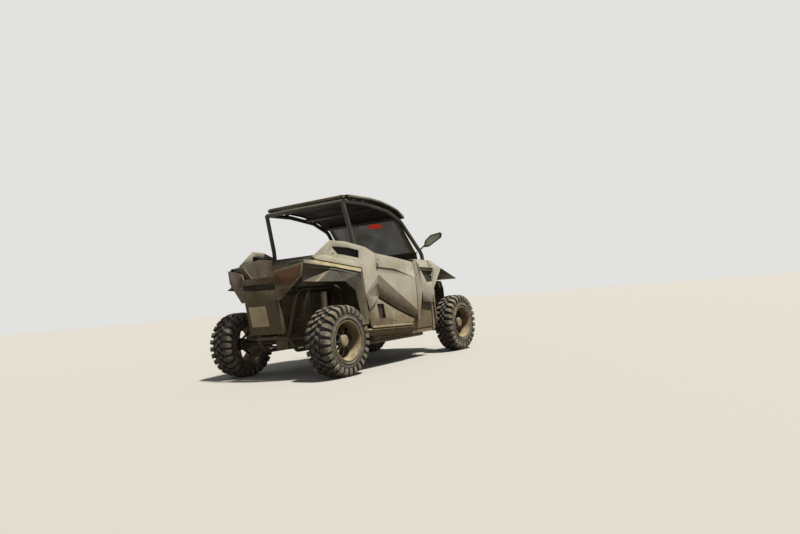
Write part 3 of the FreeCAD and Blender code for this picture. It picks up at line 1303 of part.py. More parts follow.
# Mirrors: a thin blade on an arm from each front pillar.
def mirror():
    root = Vector(S.pillar_foot_half + 5, -566, 1262)
    tip = Vector(S.mirror_reach, -600, S.mirror_high)
    inner = Vector(S.mirror_reach - S.mirror_wide, -600, S.mirror_high - 130)
    ring = [inner + Vector(0, 0, -16), inner + Vector(70, 0, -18), tip + Vector(-14, 0, -58), tip + Vector(0, 0, -12),
            tip + Vector(-20, 0, 6), inner + Vector(110, 0, 118), inner + Vector(30, 0, 62)]
    blade = Part.Face(Part.makePolygon(ring + [ring[0]])).extrude(Vector(0, 15, 0))
    blade = blade.makeFillet(5, [edge for edge in blade.Edges if abs(edge.tangentAt(edge.FirstParameter).y) < 0.1
                                 and edge.CenterOfMass.y < -599])
    return fused([blade, rod(root, inner + Vector(26, 8, 14), 9)]).cut(nodes["roll_cage"].Shape)


together("mirrors", both_sides_of("mirror", mirror()))


# Exhaust: a silencer across the back under the bed with its outlet to the rear.
def exhaust():
    can = Part.makeCylinder(66, 300, Vector(-150, REAR_AXLE + 60, 560), Vector(1, 0, 0))
    outlet = rod((96, REAR_AXLE + 60, 560), (96, REAR_AXLE + 190, 540), 24)
    pipe = rod((-60, 1010.4, 560), (-60, REAR_AXLE + 20, 560), 20)
    return fused([can, outlet, pipe])


keep("exhaust", shaped("exhaust", exhaust()))

doc.recompute()
for piece in doc.Objects:
    if "Invalid" in piece.State or "Error" in piece.State:
        raise ValueError(f"{piece.Label} failed: {piece.State}")
for name, piece in nodes.items():
    if piece.Shape.isNull() or not piece.Shape.isValid():
        raise ValueError(f"{name} has no valid shape")
    piece.Shape.exportStep(f"parts/{name}.step")
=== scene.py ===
import math

import bmesh
import bpy
from mathutils import Matrix, Vector
from mathutils.bvhtree import BVHTree


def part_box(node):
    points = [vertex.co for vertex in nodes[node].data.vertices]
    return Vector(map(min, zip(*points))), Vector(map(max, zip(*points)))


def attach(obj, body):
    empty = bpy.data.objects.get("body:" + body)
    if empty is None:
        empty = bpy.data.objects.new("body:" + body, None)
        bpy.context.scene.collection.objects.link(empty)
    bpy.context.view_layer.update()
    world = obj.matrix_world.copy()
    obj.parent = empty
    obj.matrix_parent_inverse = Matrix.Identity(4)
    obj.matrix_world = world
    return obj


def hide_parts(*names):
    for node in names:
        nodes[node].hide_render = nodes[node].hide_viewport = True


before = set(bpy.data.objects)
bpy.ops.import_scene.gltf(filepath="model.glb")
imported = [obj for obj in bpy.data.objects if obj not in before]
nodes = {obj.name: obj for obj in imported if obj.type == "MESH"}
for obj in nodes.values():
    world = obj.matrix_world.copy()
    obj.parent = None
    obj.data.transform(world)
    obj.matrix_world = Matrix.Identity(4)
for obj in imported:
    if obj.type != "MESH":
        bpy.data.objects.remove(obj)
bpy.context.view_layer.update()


# Camera: low behind the right rear corner, some seven metres off and a little rolled, so that
# the vehicle sits small in the frame and its tail and right flank both show.
camera_at = (-4.65224, 5.87237, 0.73016)
turn, rise, roll = math.radians(214.04), math.radians(-2.58), math.radians(-4.57)
back = Vector((math.sin(turn) * math.cos(rise), -math.cos(turn) * math.cos(rise), math.sin(rise)))
level = Vector((0, 0, 1)).cross(back).normalized()
upright = back.cross(level)
right = level * math.cos(roll) + upright * math.sin(roll)
top = upright * math.cos(roll) - level * math.sin(roll)
lens = bpy.data.cameras.new("lens")
lens.sensor_width = 36
lens.lens = 28.59
lens.clip_end = 400
camera = bpy.data.objects.new("camera", lens)
camera.matrix_world = Matrix((*zip(right, top, back, camera_at), (0, 0, 0, 1)))
bpy.context.scene.collection.objects.link(camera)
bpy.context.scene.camera = camera


# Floor and light: one warm key lamp from high on the right, a little ahead, under a wide soft sky
# that is weaker, so the tail and the wheel arches fall into shade. The floor and the sky show pale
# to the eye, to polished metal and to clear panes, and the floor throws little light back up.
def tone(red, green, blue):
    """A colour as it is read off a photograph, in the linear scale that shaders take."""
    return tuple((((part / 255) + 0.055) / 1.055) ** 2.4 for part in (red, green, blue)) + (1.0,)


bpy.context.scene.view_settings.view_transform = "Standard"
floor_half = 60
floor_corners = [(x * floor_half, y * floor_half, 0) for x, y in ((-1, -1), (1, -1), (1, 1), (-1, 1))]
floor_mesh = bpy.data.meshes.new("floor")
floor_mesh.from_pydata(floor_corners, [], [(0, 1, 2, 3)])
floor = bpy.data.objects.new("floor", floor_mesh)
bpy.context.scene.collection.objects.link(floor)
floor_paint = bpy.data.materials.new("floor_paint")
floor_paint.use_nodes = True
floor_nodes = floor_paint.node_tree.nodes
floor_links = floor_paint.node_tree.links
floor_rays = floor_nodes.new("ShaderNodeLightPath")
floor_tone = floor_nodes.new("ShaderNodeMix")
floor_tone.data_type = "RGBA"
floor_tone.inputs["A"].default_value = tone(168, 166, 161)
floor_tone.inputs["B"].default_value = tone(66, 56, 43)
floor_links.new(floor_rays.outputs["Is Diffuse Ray"], floor_tone.inputs["Factor"])
floor_links.new(floor_tone.outputs["Result"], floor_nodes["Principled BSDF"].inputs["Base Color"])
floor_nodes["Principled BSDF"].inputs["Roughness"].default_value = 0.9
floor_mesh.materials.append(floor_paint)

sky = bpy.data.worlds.new("sky")
sky.use_nodes = True
bpy.context.scene.world = sky
sky_nodes = sky.node_tree.nodes
sky_links = sky.node_tree.links
rays = sky_nodes.new("ShaderNodeLightPath")
seen = rays.outputs["Is Camera Ray"]
for kind in ("Is Glossy Ray", "Is Transmission Ray"):
    either = sky_nodes.new("ShaderNodeMath")
    either.operation = "ADD"
    either.use_clamp = True
    sky_links.new(seen, either.inputs[0])
    sky_links.new(rays.outputs[kind], either.inputs[1])
    seen = either.outputs[0]
glow = sky_nodes["Background"]
glow.inputs["Color"].default_value = (0.96, 0.97, 1.0, 1.0)
glow.inputs["Strength"].default_value = 0.165
pale = sky_nodes.new("ShaderNodeBackground")
pale.inputs["Color"].default_value = tone(226, 226, 224)
pale.inputs["Strength"].default_value = 1.0
which = sky_nodes.new("ShaderNodeMixShader")
sky_links.new(seen, which.inputs[0])
sky_links.new(glow.outputs[0], which.inputs[1])
sky_links.new(pale.outputs[0], which.inputs[2])
sky_links.new(which.outputs[0], sky_nodes["World Output"].inputs["Surface"])

key = bpy.data.lights.new("key", "SUN")
key.energy = 5.9
key.angle = math.radians(5)
key.color = (1.0, 0.96, 0.87)
key_lamp = bpy.data.objects.new("key", key)
key_lamp.rotation_mode = "QUATERNION"
key_lamp.rotation_quaternion = Vector((0.42, 0.07, -1.0)).to_track_quat("-Z", "Y")
bpy.context.scene.collection.objects.link(key_lamp)


# Body panels: injection-moulded skins in a flat khaki grey, screwed to the frame's brackets.
# Dust lies on every ledge and thickens towards the sills, and brown splash darkens what looks down and what
# lies low, partly mud and partly painted shade.
class Finish:
    """One procedural material under construction, its patterns laid out in metres on the piece."""

    def __init__(self, name):
        self.material = bpy.data.materials.new(name)
        self.material.use_nodes = True
        self.tree = self.material.node_tree
        self.shader = self.tree.nodes["Principled BSDF"]
        self.place = self.tree.nodes.new("ShaderNodeTexCoord").outputs["Object"]
        self.facing = self.tree.nodes.new("ShaderNodeNewGeometry").outputs["Normal"]

    def join(self, source, target):
        self.tree.links.new(source, target)

    def grain(self, size, detail, rough, stretch=(1, 1, 1), seed=0.0):
        """Cloudy noise whose blotches are about that many metres across."""
        move = self.tree.nodes.new("ShaderNodeMapping")
        move.inputs["Location"].default_value = (seed, seed * 1.7, seed * 0.6)
        move.inputs["Scale"].default_value = stretch
        self.join(self.place, move.inputs["Vector"])
        cloud = self.tree.nodes.new("ShaderNodeTexNoise")
        cloud.inputs["Scale"].default_value = 1 / size
        cloud.inputs["Detail"].default_value = detail
        cloud.inputs["Roughness"].default_value = rough
        self.join(move.outputs["Vector"], cloud.inputs["Vector"])
        return cloud.outputs["Fac"]

    def part(self, source, axis):
        """One of the three parts of a place or a direction."""
        split = self.tree.nodes.new("ShaderNodeSeparateXYZ")
        self.join(source, split.inputs[0])
        return split.outputs[axis]

    def span(self, source, low, high, to_low=0.0, to_high=1.0):
        """Stretches a range to another, held at its ends."""
        ramp = self.tree.nodes.new("ShaderNodeMapRange")
        ramp.inputs["From Min"].default_value = low
        ramp.inputs["From Max"].default_value = high
        ramp.inputs["To Min"].default_value = to_low
        ramp.inputs["To Max"].default_value = to_high
        self.join(source, ramp.inputs["Value"])
        return ramp.outputs["Result"]

    def work(self, kind, first, second=0, clamp=True):
        """One step of arithmetic, its result held between 0 and 1 unless told otherwise."""
        step = self.tree.nodes.new("ShaderNodeMath")
        step.operation = kind
        step.use_clamp = clamp
        for index, value in enumerate((first, second)):
            if isinstance(value, (int, float)):
                step.inputs[index].default_value = value
            else:
                self.join(value, step.inputs[index])
        return step.outputs[0]

    def sum(self, first, second):
        return self.work("ADD", first, second)

    def times(self, first, second):
        return self.work("MULTIPLY", first, second)

    def offset(self, source, middle):
        """How far a measure is past a middle, less than 0 before it."""
        return self.work("SUBTRACT", source, middle, clamp=False)

    def reach(self, first, second):
        """The distance from where two measures at right angles are both 0."""
        squares = [self.work("POWER", measure, 2, clamp=False) for measure in (first, second)]
        return self.work("POWER", self.work("ADD", *squares, clamp=False), 0.5, clamp=False)

    def between(self, source, low, high):
        """1 between two values and 0 outside them."""
        return self.times(self.work("GREATER_THAN", source, low), self.work("LESS_THAN", source, high))

    def blend(self, share, first, second):
        """One colour where the share is 0, the other where it is 1."""
        mix = self.tree.nodes.new("ShaderNodeMix")
        mix.data_type = "RGBA"
        self.join(share, mix.inputs["Factor"])
        for socket, value in ((mix.inputs["A"], first), (mix.inputs["B"], second)):
            if isinstance(value, tuple):
                socket.default_value = value
            else:
                self.join(value, socket)
        return mix.outputs["Result"]

    def colour(self, source):
        self.join(source, self.shader.inputs["Base Color"])

    def rough(self, source):
        self.join(source, self.shader.inputs["Roughness"])

    def relief(self, source, depth):
        """Raises the surface by up to that many metres where the source is 1."""
        bump = self.tree.nodes.new("ShaderNodeBump")
        bump.inputs["Strength"].default_value = 1.0
        bump.inputs["Distance"].default_value = depth
        self.join(source, bump.inputs["Height"])
        self.join(bump.outputs["Normal"], self.shader.inputs["Normal"])


# Heights at which the brown splash, which is also painted shade, starts and is full, and its colour.
splash_and_shade_heights = (0.76, 0.5)
splash_and_shade_tone = tone(92, 74, 46)


def shaded(colour, red, green, blue):
    """A colour with each of its parts scaled."""
    return tuple(part * share for part, share in zip(colour, (red, green, blue))) + (1.0,)


def dusted(name, base, dust, bare_rough=0.42, ledge=0.45, low=(1.0, 0.25), low_share=0.55, heavy=0.5,
           fine=1.0, splash_and_shade=0.0, below=None, texture=0.00012, metal=0.0, flat=0.35):
    """A coated surface under dust: more of it on ledges, lower down and in soft clouds.

    ledge, low_share, heavy and fine are the shares of dust on ledges, low down, in clouds and in
    specks. flat is how level a ledge has to be, from 0 to 1, and low gives the heights at which the
    low dust starts and is full. Faces that look down and faces low down take a brown that is partly
    splashed mud and partly painted shade, or faces that look down take a bare colour of their own, as
    painted shade.
    """
    made = Finish(name)
    clouds = made.span(made.grain(0.22, 6, 0.6), 0.42, 0.66)
    specks = made.span(made.grain(0.018, 8, 0.7, seed=3.1), 0.35, 0.75)
    ledges = made.span(made.part(made.facing, "Z"), flat, 0.9, 0.0, ledge)
    lower = made.span(made.part(made.place, "Z"), low[0], low[1], 0.0, low_share)
    runs = made.span(made.grain(0.05, 5, 0.6, stretch=(1, 1, 0.16), seed=7.7), 0.5, 0.75, 0.0, 0.25 * fine)
    film = made.sum(made.sum(made.times(clouds, heavy), ledges), made.sum(lower, runs))
    film = made.sum(film, made.times(specks, 0.35 * fine))
    shade = made.grain(0.35, 3, 0.5, seed=1.3)
    coat = made.blend(made.span(shade, 0.3, 0.7), shaded(base, 0.78, 0.78, 0.78), base)
    brown = shaded(dust, 0.62, 0.55, 0.45)
    soil = made.blend(made.span(made.grain(0.11, 7, 0.65, seed=5.5), 0.4, 0.7), dust, brown)
    skin = made.blend(film, coat, soil)
    down = made.span(made.part(made.facing, "Z"), -0.04, -0.3)
    if below is not None:
        skin = made.blend(down, skin, below)
    # Brown on faces that look down and on low faces: partly splashed mud, partly painted shade.
    if splash_and_shade:
        thrown_and_shade = made.sum(down, made.span(made.part(made.place, "Z"), *splash_and_shade_heights))
        thrown_and_shade = made.times(thrown_and_shade, made.span(made.grain(0.07, 7, 0.62, seed=11.0), 0.28, 0.6, 0.45, 1.0))
        skin = made.blend(made.times(thrown_and_shade, splash_and_shade), skin, splash_and_shade_tone)
    made.colour(skin)
    made.rough(made.span(film, 0, 1, bare_rough, 0.93))
    made.shader.inputs["Metallic"].default_value = metal
    made.relief(made.sum(specks, made.times(film, 0.6)), texture)
    return made.material


def dress(finish, *names, edge=0.0022):
    """Gives CAD nodes their finish, with their moulded edges rounded over unless edge is 0."""
    for name in names:
        node = nodes[name]
        for place in node.material_slots:
            place.material = finish
        node.data.shade_smooth()
        weld = node.modifiers.new("weld", "WELD")
        weld.merge_threshold = 0.00002
        if edge:
            rounding = node.modifiers.new("rounding", "BEVEL")
            rounding.width = edge
            rounding.segments = 2
            rounding.limit_method = "ANGLE"
            rounding.angle_limit = math.radians(22)
            rounding.harden_normals = True
        parting = node.modifiers.new("parting", "EDGE_SPLIT")
        parting.split_angle = math.radians(28)


paint = dusted("body_paint", tone(170, 168, 154), tone(138, 122, 90), bare_rough=0.46, ledge=0.1,
               low=(0.9, 0.3), low_share=0.3, heavy=0.3, fine=0.8, splash_and_shade=0.85)
dress(paint, "door_left", "door_right", "quarters", "hood", "fenders", "nose", edge=0.003)
# The tail panel takes a darker, browner copy of the paint with more dust: partly dust, partly painted shade
# on a tail that faces away from the key lamp.
tail_paint_with_shade = dusted("tail_paint_with_shade", tone(132, 126, 106), tone(112, 94, 62), bare_rough=0.5, ledge=0.5,
                    low=(1.1, 0.6), low_share=0.4, heavy=0.6, splash_and_shade=0.6)
dress(tail_paint_with_shade, "tail_panel", edge=0.003)


# Black plastic: flares, sills, bed, tub and trim in through-coloured black plastic, its grain
# filled with brown dust so that little black is left except in the corners.
plastic = dusted("black_plastic", tone(42, 38, 32), tone(142, 128, 98), bare_rough=0.55, ledge=0.62,
                 low=(1.0, 0.4), low_share=0.5, heavy=0.24, fine=0.45)
dress(plastic, "sills", "bed", "tub", "plate_hanger", "dash", "seat_shells", "mirrors")
# The rear flares take a darker copy with less dust, painted shade for the shadow that their overhanging
# ledges cast on the faces below, and pale dust only on their level tops.
flare_plastic_with_shade = dusted("flare_plastic_with_shade", tone(28, 25, 21), tone(160, 149, 118), bare_rough=0.6, ledge=0.85,
                       low=(1.0, 0.4), low_share=0.3, heavy=0.1, fine=0.35, flat=0.72)
dress(flare_plastic_with_shade, "rear_flares")
matt = dusted("shroud_plastic", tone(22, 21, 20), tone(100, 89, 66), bare_rough=0.75, heavy=0.14,
              ledge=0.25, fine=0.3)
dress(matt, "grille")


# Roof: a thick moulded plastic shell that is screwed down on the cage's pads. Where its faces look
# down it is near black, painted shade under the roof, and it is grey with settled dust on top and at its
# rim.
roof_finish = dusted("roof_plastic", tone(120, 117, 99), tone(168, 162, 132), bare_rough=0.6, ledge=0.2,
                     heavy=0.35, low=(1.0, 0.9), below=tone(20, 19, 17))
dress(roof_finish, "roof", edge=0.006)


# Steelwork: bent and welded tubes with a satin black coat in the cage, frame and suspension
# arms; machined steel left bare, cast engine cases, and springs in a gloss black coat.
coated = dusted("cage_paint", tone(38, 37, 35), tone(126, 116, 94), bare_rough=0.36, ledge=0.5, heavy=0.25,
                low=(0.9, 0.3), low_share=0.4, fine=0.5)
dress(coated, "roll_cage", "frame", "front_arms", "trailing_arms", "radius_rods", edge=0)
bare = dusted("bare_steel", tone(98, 94, 86), tone(108, 95, 72), bare_rough=0.52, metal=0.8, heavy=0.85,
              low=(1.0, 0.5))
dress(bare, "knuckle_left", "knuckle_right", "rack", "half_shafts", "steering_column", "exhaust", edge=0)
cast = dusted("cast_metal", tone(120, 116, 108), tone(126, 110, 84), bare_rough=0.55, metal=0.7, heavy=0.7,
              low=(0.9, 0.3), texture=0.0004)
dress(cast, "engine", "front_gearcase", edge=0.004)
sprung = dusted("spring_paint", tone(40, 40, 40), tone(122, 108, 84), bare_rough=0.3, heavy=0.4,
                low=(0.9, 0.3))
dress(sprung, "shocks", edge=0)


# Rims: cast alloy wheels, near black on their spokes, each with a cap pressed over its bearing.
# Dust cakes on the cap, in the barrel and on the lip.
axle_along, axle_high = 1.145, 0.343


def from_axle(made):
    """How far a point is from its own axle: all four lie at one height, the same way fore and aft."""
    along = made.offset(made.work("ABSOLUTE", made.part(made.place, "Y"), clamp=False), axle_along)
    return made.reach(along, made.offset(made.part(made.place, "Z"), axle_high))


def rim_alloy():
    made = Finish("rim_alloy")
    radius = from_axle(made)
    on_cap = made.span(radius, 0.058, 0.050)
    on_lip = made.span(radius, 0.158, 0.168)
    clouds = made.span(made.grain(0.06, 6, 0.6), 0.3, 0.6, 0.45, 1.0)
    specks = made.span(made.grain(0.014, 6, 0.7, seed=3.0), 0.5, 0.8, 0.06, 0.4)
    film = made.sum(made.times(made.sum(on_cap, on_lip), clouds), specks)
    damp = made.span(made.grain(0.1, 6, 0.6, seed=8.0), 0.38, 0.66)
    soil = made.blend(damp, tone(162, 148, 118), tone(112, 90, 60))
    made.colour(made.blend(film, tone(44, 42, 38), soil))
    made.rough(made.span(film, 0, 1, 0.42, 0.92))
    made.join(made.span(film, 0, 0.7, 0.5, 0.0), made.shader.inputs["Metallic"])
    made.relief(made.times(clouds, film), 0.0004)
    return made.material


dress(rim_alloy(), "rim_rear_left", "rim_rear_right", "rim_front_left", "rim_front_right", edge=0.002)


# Tyres: deep mud tyres, a smooth carcass with two rows of angled centre blocks and long
# shoulder lugs that fold over on to the side wall, all cured in one piece of black rubber.
lug_rows = 4
lug_flare, lug_edge = 0.004, 0.0026


def join_rings(made, rings, capped=True):
    """Faces from each ring of points to the next, and one over each end where it is capped."""
    for first, second in zip(rings, rings[1:]):
        for index in range(len(first)):
            after = (index + 1) % len(first)
            made.faces.new((first[index], first[after], second[after], second[index]))
    if capped:
        made.faces.new(rings[0][::-1])
        made.faces.new(rings[-1])


def as_mesh(made, name):
    """Ends the building of a shape and gives it as a mesh of that name."""
    mesh = bpy.data.meshes.new(name)
    made.to_mesh(mesh)
    made.free()
    return mesh


def lug(name, stations):
    """One lug, wider at its foot, through stations from the middle of the tread outwards.

    A station is: across, top radius, base across, base radius, half width, slip round the tyre.
    """
    made = bmesh.new()
    raised = made.verts.layers.float.new("raised")
    rows = []
    for across, high, base_across, base_high, half, slip in stations:
        row = []
        for place, radius, wide in ((base_across, base_high, half + lug_flare), (across, high, half)):
            for way in (-1, 1):
                angle = (slip + way * wide) / radius
                row.append(made.verts.new((place, radius * math.sin(angle), radius * math.cos(angle))))
                row[-1][raised] = float(wide == half)
        rows.append((row[0], row[2], row[3], row[1]))
    join_rings(made, rows)
    bmesh.ops.recalc_face_normals(made, faces=made.faces)
    sharp = [edge for edge in made.edges if edge.calc_face_angle(0) > math.radians(32)]
    bmesh.ops.bevel(made, geom=sharp, offset=lug_edge, segments=2, affect="EDGES", profile=0.6)
    return as_mesh(made, name)


def carcass(half, steps=120):
    """A hollow ring with rounded shoulders and a rubbing rib above each bead.

    Its outline is given as places across the tyre, each with its radius.
    """
    outside = [
        (half - 0.044, 0.179), (half - 0.030, 0.187), (half - 0.019, 0.198), (half - 0.015, 0.210),
        (half - 0.0075, 0.215), (half - 0.0075, 0.2195), (half - 0.0135, 0.2235), (half - 0.011, 0.242),
        (half - 0.0115, 0.262), (half - 0.016, 0.283), (half - 0.027, 0.302), (half - 0.048, 0.3155),
        (half * 0.33, 0.3215), (0.0, 0.3228),
    ]
    inside = [(0.0, 0.309), (half - 0.060, 0.300), (half - 0.034, 0.272), (half - 0.028, 0.235),
              (half - 0.056, 0.191)]
    outline = outside + [(-across, radius) for across, radius in outside[-2::-1]]
    outline += [(-across, radius) for across, radius in inside[:0:-1]] + inside
    made = bmesh.new()
    rings = []
    for step in range(steps):
        angle = math.tau * step / steps
        rings.append([made.verts.new((across, radius * math.sin(angle), radius * math.cos(angle)))
                      for across, radius in outline])
    join_rings(made, rings + rings[:1], capped=False)
    bmesh.ops.recalc_face_normals(made, faces=made.faces)
    mesh = as_mesh(made, "carcass")
    mesh.shade_smooth()
    return mesh


def new_rule(name, inputs):
    """An empty rule for a piece, with a geometry in and out and further named inputs."""
    tree = bpy.data.node_groups.new(name, "GeometryNodeTree")
    tree.interface.new_socket("Geometry", in_out="OUTPUT", socket_type="NodeSocketGeometry")
    for label, kind in (("Geometry", "Geometry"), *inputs):
        tree.interface.new_socket(label, in_out="INPUT", socket_type=f"NodeSocket{kind}")
    return tree


def copies_on(tree, points, blank, rotation):
    """Copies of an object on points, each turned by its own rotation."""
    shape = tree.nodes.new("GeometryNodeObjectInfo")
    tree.links.new(blank, shape.inputs[0])
    copies = tree.nodes.new("GeometryNodeInstanceOnPoints")
    tree.links.new(points, copies.inputs["Points"])
    tree.links.new(shape.outputs["Geometry"], copies.inputs["Instance"])
    tree.links.new(rotation, copies.inputs["Rotation"])
    return copies.outputs[0]


def end_rule(tree, copies, finish):
    """Hands the copies out as real faces in their finish."""
    real = tree.nodes.new("GeometryNodeRealizeInstances")
    tree.links.new(copies, real.inputs[0])
    coat = tree.nodes.new("GeometryNodeSetMaterial")
    tree.links.new(real.outputs[0], coat.inputs["Geometry"])
    tree.links.new(finish, coat.inputs["Material"])
    out = tree.nodes.new("NodeGroupOutput")
    tree.links.new(coat.outputs[0], out.inputs[0])
    return tree


def tread_tree():
    """Rows of lugs round the axle, each row with its own lug and its own start angle."""
    inputs = [("Lugs in a row", "Int"), ("Rubber", "Material")]
    for row in range(lug_rows):
        inputs += [(f"Lug {row}", "Object"), (f"Start {row}", "Float")]
    tree = new_rule("tread", inputs)
    build, join = tree.nodes.new, tree.links.new
    given = build("NodeGroupInput").outputs
    gather = build("GeometryNodeJoinGeometry")
    join(given["Geometry"], gather.inputs[0])
    index = build("GeometryNodeInputIndex")
    for row in range(lug_rows):
        points = build("GeometryNodePoints")
        join(given["Lugs in a row"], points.inputs["Count"])
        share = index.outputs[0]
        for kind, value in (("ADD", given[f"Start {row}"]), ("DIVIDE", given["Lugs in a row"])):
            step = build("ShaderNodeMath")
            step.operation = kind
            join(share, step.inputs[0])
            join(value, step.inputs[1])
            share = step.outputs[0]
        angle = build("ShaderNodeMath")
        angle.operation = "MULTIPLY"
        angle.inputs[1].default_value = math.tau
        join(share, angle.inputs[0])
        turned = build("ShaderNodeCombineXYZ")
        join(angle.outputs[0], turned.inputs[0])
        lugs = copies_on(tree, points.outputs[0], given[f"Lug {row}"], turned.outputs[0])
        join(lugs, gather.inputs[0])
    return end_rule(tree, gather.outputs[0], given["Rubber"])


def settled(owner):
    """Turns what the modifiers make into a plain mesh."""
    bpy.context.view_layer.update()
    whole = bpy.data.meshes.new_from_object(owner.evaluated_get(bpy.context.evaluated_depsgraph_get()))
    owner.modifiers.clear()
    owner.data = whole


def follow(owner, tree, values):
    """Makes a piece follow a rule, with these values for its named inputs, and keeps what it makes."""
    rule = owner.modifiers.new("rule", "NODES")
    rule.node_group = tree
    for item in tree.interface.items_tree:
        if item.in_out == "INPUT" and item.name in values:
            rule[item.identifier] = values[item.name]
    settled(owner)


def put(name, mesh, finish=None):
    """Shows a mesh as a piece of that name, at the origin and unturned."""
    made = bpy.data.objects.new(name, mesh)
    bpy.context.scene.collection.objects.link(made)
    if finish is not None:
        mesh.materials.clear()
        mesh.materials.append(finish)
    return made


def tyre_rubber():
    """Black in the grooves, pale on the lugs' faces as dust and painted light, and pale dust on a ring of
    the side wall.
    """
    made = Finish("tyre_rubber")
    raised = made.tree.nodes.new("ShaderNodeAttribute")
    raised.attribute_name = "raised"
    clouds = made.span(made.grain(0.05, 7, 0.65), 0.3, 0.62, 0.35, 1.0)
    # Pale rises from the lugs' feet to their faces: partly dust, partly painted light on the lugs against
    # the dark grooves.
    faces = made.times(made.span(raised.outputs["Fac"], 0.55, 1.0), clouds)
    wall_clouds = made.span(made.grain(0.03, 6, 0.6, seed=2.2), 0.3, 0.6, 0.2, 0.9)
    wall = made.times(made.span(from_axle(made), 0.262, 0.235), wall_clouds)
    specks = made.span(made.grain(0.012, 6, 0.7, seed=4.4), 0.5, 0.8, 0.0, 0.35)
    film = made.sum(made.sum(made.times(faces, 0.92), made.times(wall, 0.75)), specks)
    damp = made.span(made.grain(0.09, 6, 0.6, seed=6.1), 0.35, 0.65)
    soil = made.blend(damp, tone(152, 147, 132), tone(110, 98, 76))
    made.colour(made.blend(film, tone(28, 27, 25), soil))
    made.rough(made.span(film, 0, 1, 0.7, 0.95))
    made.relief(made.grain(0.006, 6, 0.7, seed=9.0), 0.0006)
    return made.material


def tyre(axle, half, lugs):
    """Both tyres of an axle, from half their width and the number of lugs in a row.

    The stations of the shoulder and centre lugs are in the order that lug() takes them.
    """
    shoulder = [
        (half - 0.078, 0.3425, half - 0.080, 0.316, 0.0135, -0.010),
        (half - 0.052, 0.3428, half - 0.056, 0.312, 0.018, -0.004),
        (half - 0.022, 0.3365, half - 0.042, 0.300, 0.0215, 0.0),
        (half - 0.0045, 0.3200, half - 0.032, 0.292, 0.0215, 0.0),
        (half - 0.0008, 0.2950, half - 0.024, 0.278, 0.0195, 0.001),
        (half - 0.0035, 0.2660, half - 0.018, 0.258, 0.013, 0.003),
    ]
    centre = [
        (0.004, 0.3428, 0.004, 0.318, 0.0130, -0.030),
        (0.024, 0.3430, 0.024, 0.318, 0.0165, -0.018),
        (half - 0.092, 0.3428, half - 0.092, 0.316, 0.0135, -0.006),
    ]
    tread = put("tread", carcass(half))
    values = {"Lugs in a row": lugs, "Rubber": rubber}
    blanks = []
    rows = ((shoulder, 1, 0.0), (shoulder, -1, 0.5), (centre, 1, 0.25), (centre, -1, 0.75))
    for row, (stations, side, start) in enumerate(rows):
        laid = [(side * across, high, side * base, low, wide, slip)
                for across, high, base, low, wide, slip in stations]
        blanks.append(put(f"lug_{row}", lug(f"lug_{row}", laid)))
        values[f"Lug {row}"] = blanks[row]
        values[f"Start {row}"] = start
    follow(tread, tread_rule, values)
    for blank in blanks:
        bpy.data.objects.remove(blank)
    mesh = tread.data
    bpy.data.objects.remove(tread)
    for side in ("left", "right"):
        low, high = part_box(f"tyre_{axle}_{side}")
        own = mesh.copy()
        own.transform(Matrix.Translation((low + high) / 2))
        piece = put(f"mud_tyre_{axle}_{side}", own)
        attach(piece, f"wheel_{axle}_{side}")
        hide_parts(f"tyre_{axle}_{side}")


rubber = tyre_rubber()
tread_rule = tread_tree()
tyre("rear", 0.140, 27)
tyre("front", 0.1145, 27)


# Windscreen: a tall pane of clear hard-coated plastic, held between the front pillars, under a dark
# film, partly dust and partly painted shade, that is thicker at its sides. One plain orange-red strip lies
# near its top, and glows a little as painted light.
strip_across, strip_up, strip_light = (-0.262, -0.086), (1.558, 1.607), 0.42
pane_haze_and_shade, side_dust = 0.67, (0.44, 0.535)


def dusty_pane():
    """A pane that a film of dust and painted shade makes half solid, with a strip that glows as painted
    light from behind.
    """
    made = Finish("clear_pane")
    across = made.part(made.place, "X")
    up = made.part(made.place, "Z")
    strip = made.times(made.between(across, *strip_across), made.between(up, *strip_up))
    clouds = made.span(made.grain(0.22, 5, 0.55), 0.3, 0.7, 0.0, 0.14)
    specks = made.span(made.grain(0.012, 6, 0.65, seed=4.0), 0.5, 0.8, 0.0, 0.2)
    edge = made.span(made.work("ABSOLUTE", across), *side_dust, 0.0, 0.3)
    # The film is a thick dark olive: partly dust, partly painted shade of the space behind the pane.
    film = made.sum(made.sum(made.sum(clouds, specks), edge), pane_haze_and_shade)
    dust = made.blend(made.span(clouds, 0.0, 0.14), tone(82, 80, 58), tone(112, 106, 78))
    made.colour(made.blend(strip, dust, tone(150, 40, 22)))
    # The strip glows: painted light for the sun shining through it.
    made.join(made.blend(strip, (0, 0, 0, 1), tone(206, 50, 24)), made.shader.inputs["Emission Color"])
    made.shader.inputs["Emission Strength"].default_value = strip_light
    made.join(made.work("MAXIMUM", film, made.times(strip, 0.96)), made.shader.inputs["Alpha"])
    made.rough(made.span(film, 0.3, 0.9, 0.12, 0.7))
    return made.material


nodes["windscreen"].material_slots[0].material = dusty_pane()


# Tail lamps: red plastic lenses clipped into the tail panel's swept sides, under the same dust as
# the panel around them.
red = dusted("lamp_red", tone(92, 42, 24), tone(112, 86, 54), bare_rough=0.2, heavy=0.8)
dress(red, "tail_lamps", edge=0.003)


# Headlamps: a moulded clear cover over a dark housing, let into the fascia each side of the grille.
# Each housing holds two round reflectors, painted on the cover as pale rings that brighten outwards: a
# painted reflection.
bowls_across, bowls_high = (0.298, 0.344), 0.822
bowl_rim, bowl_edge, bulb_radius, bowl_wall = 0.0215, 0.0205, 0.006, 0.019


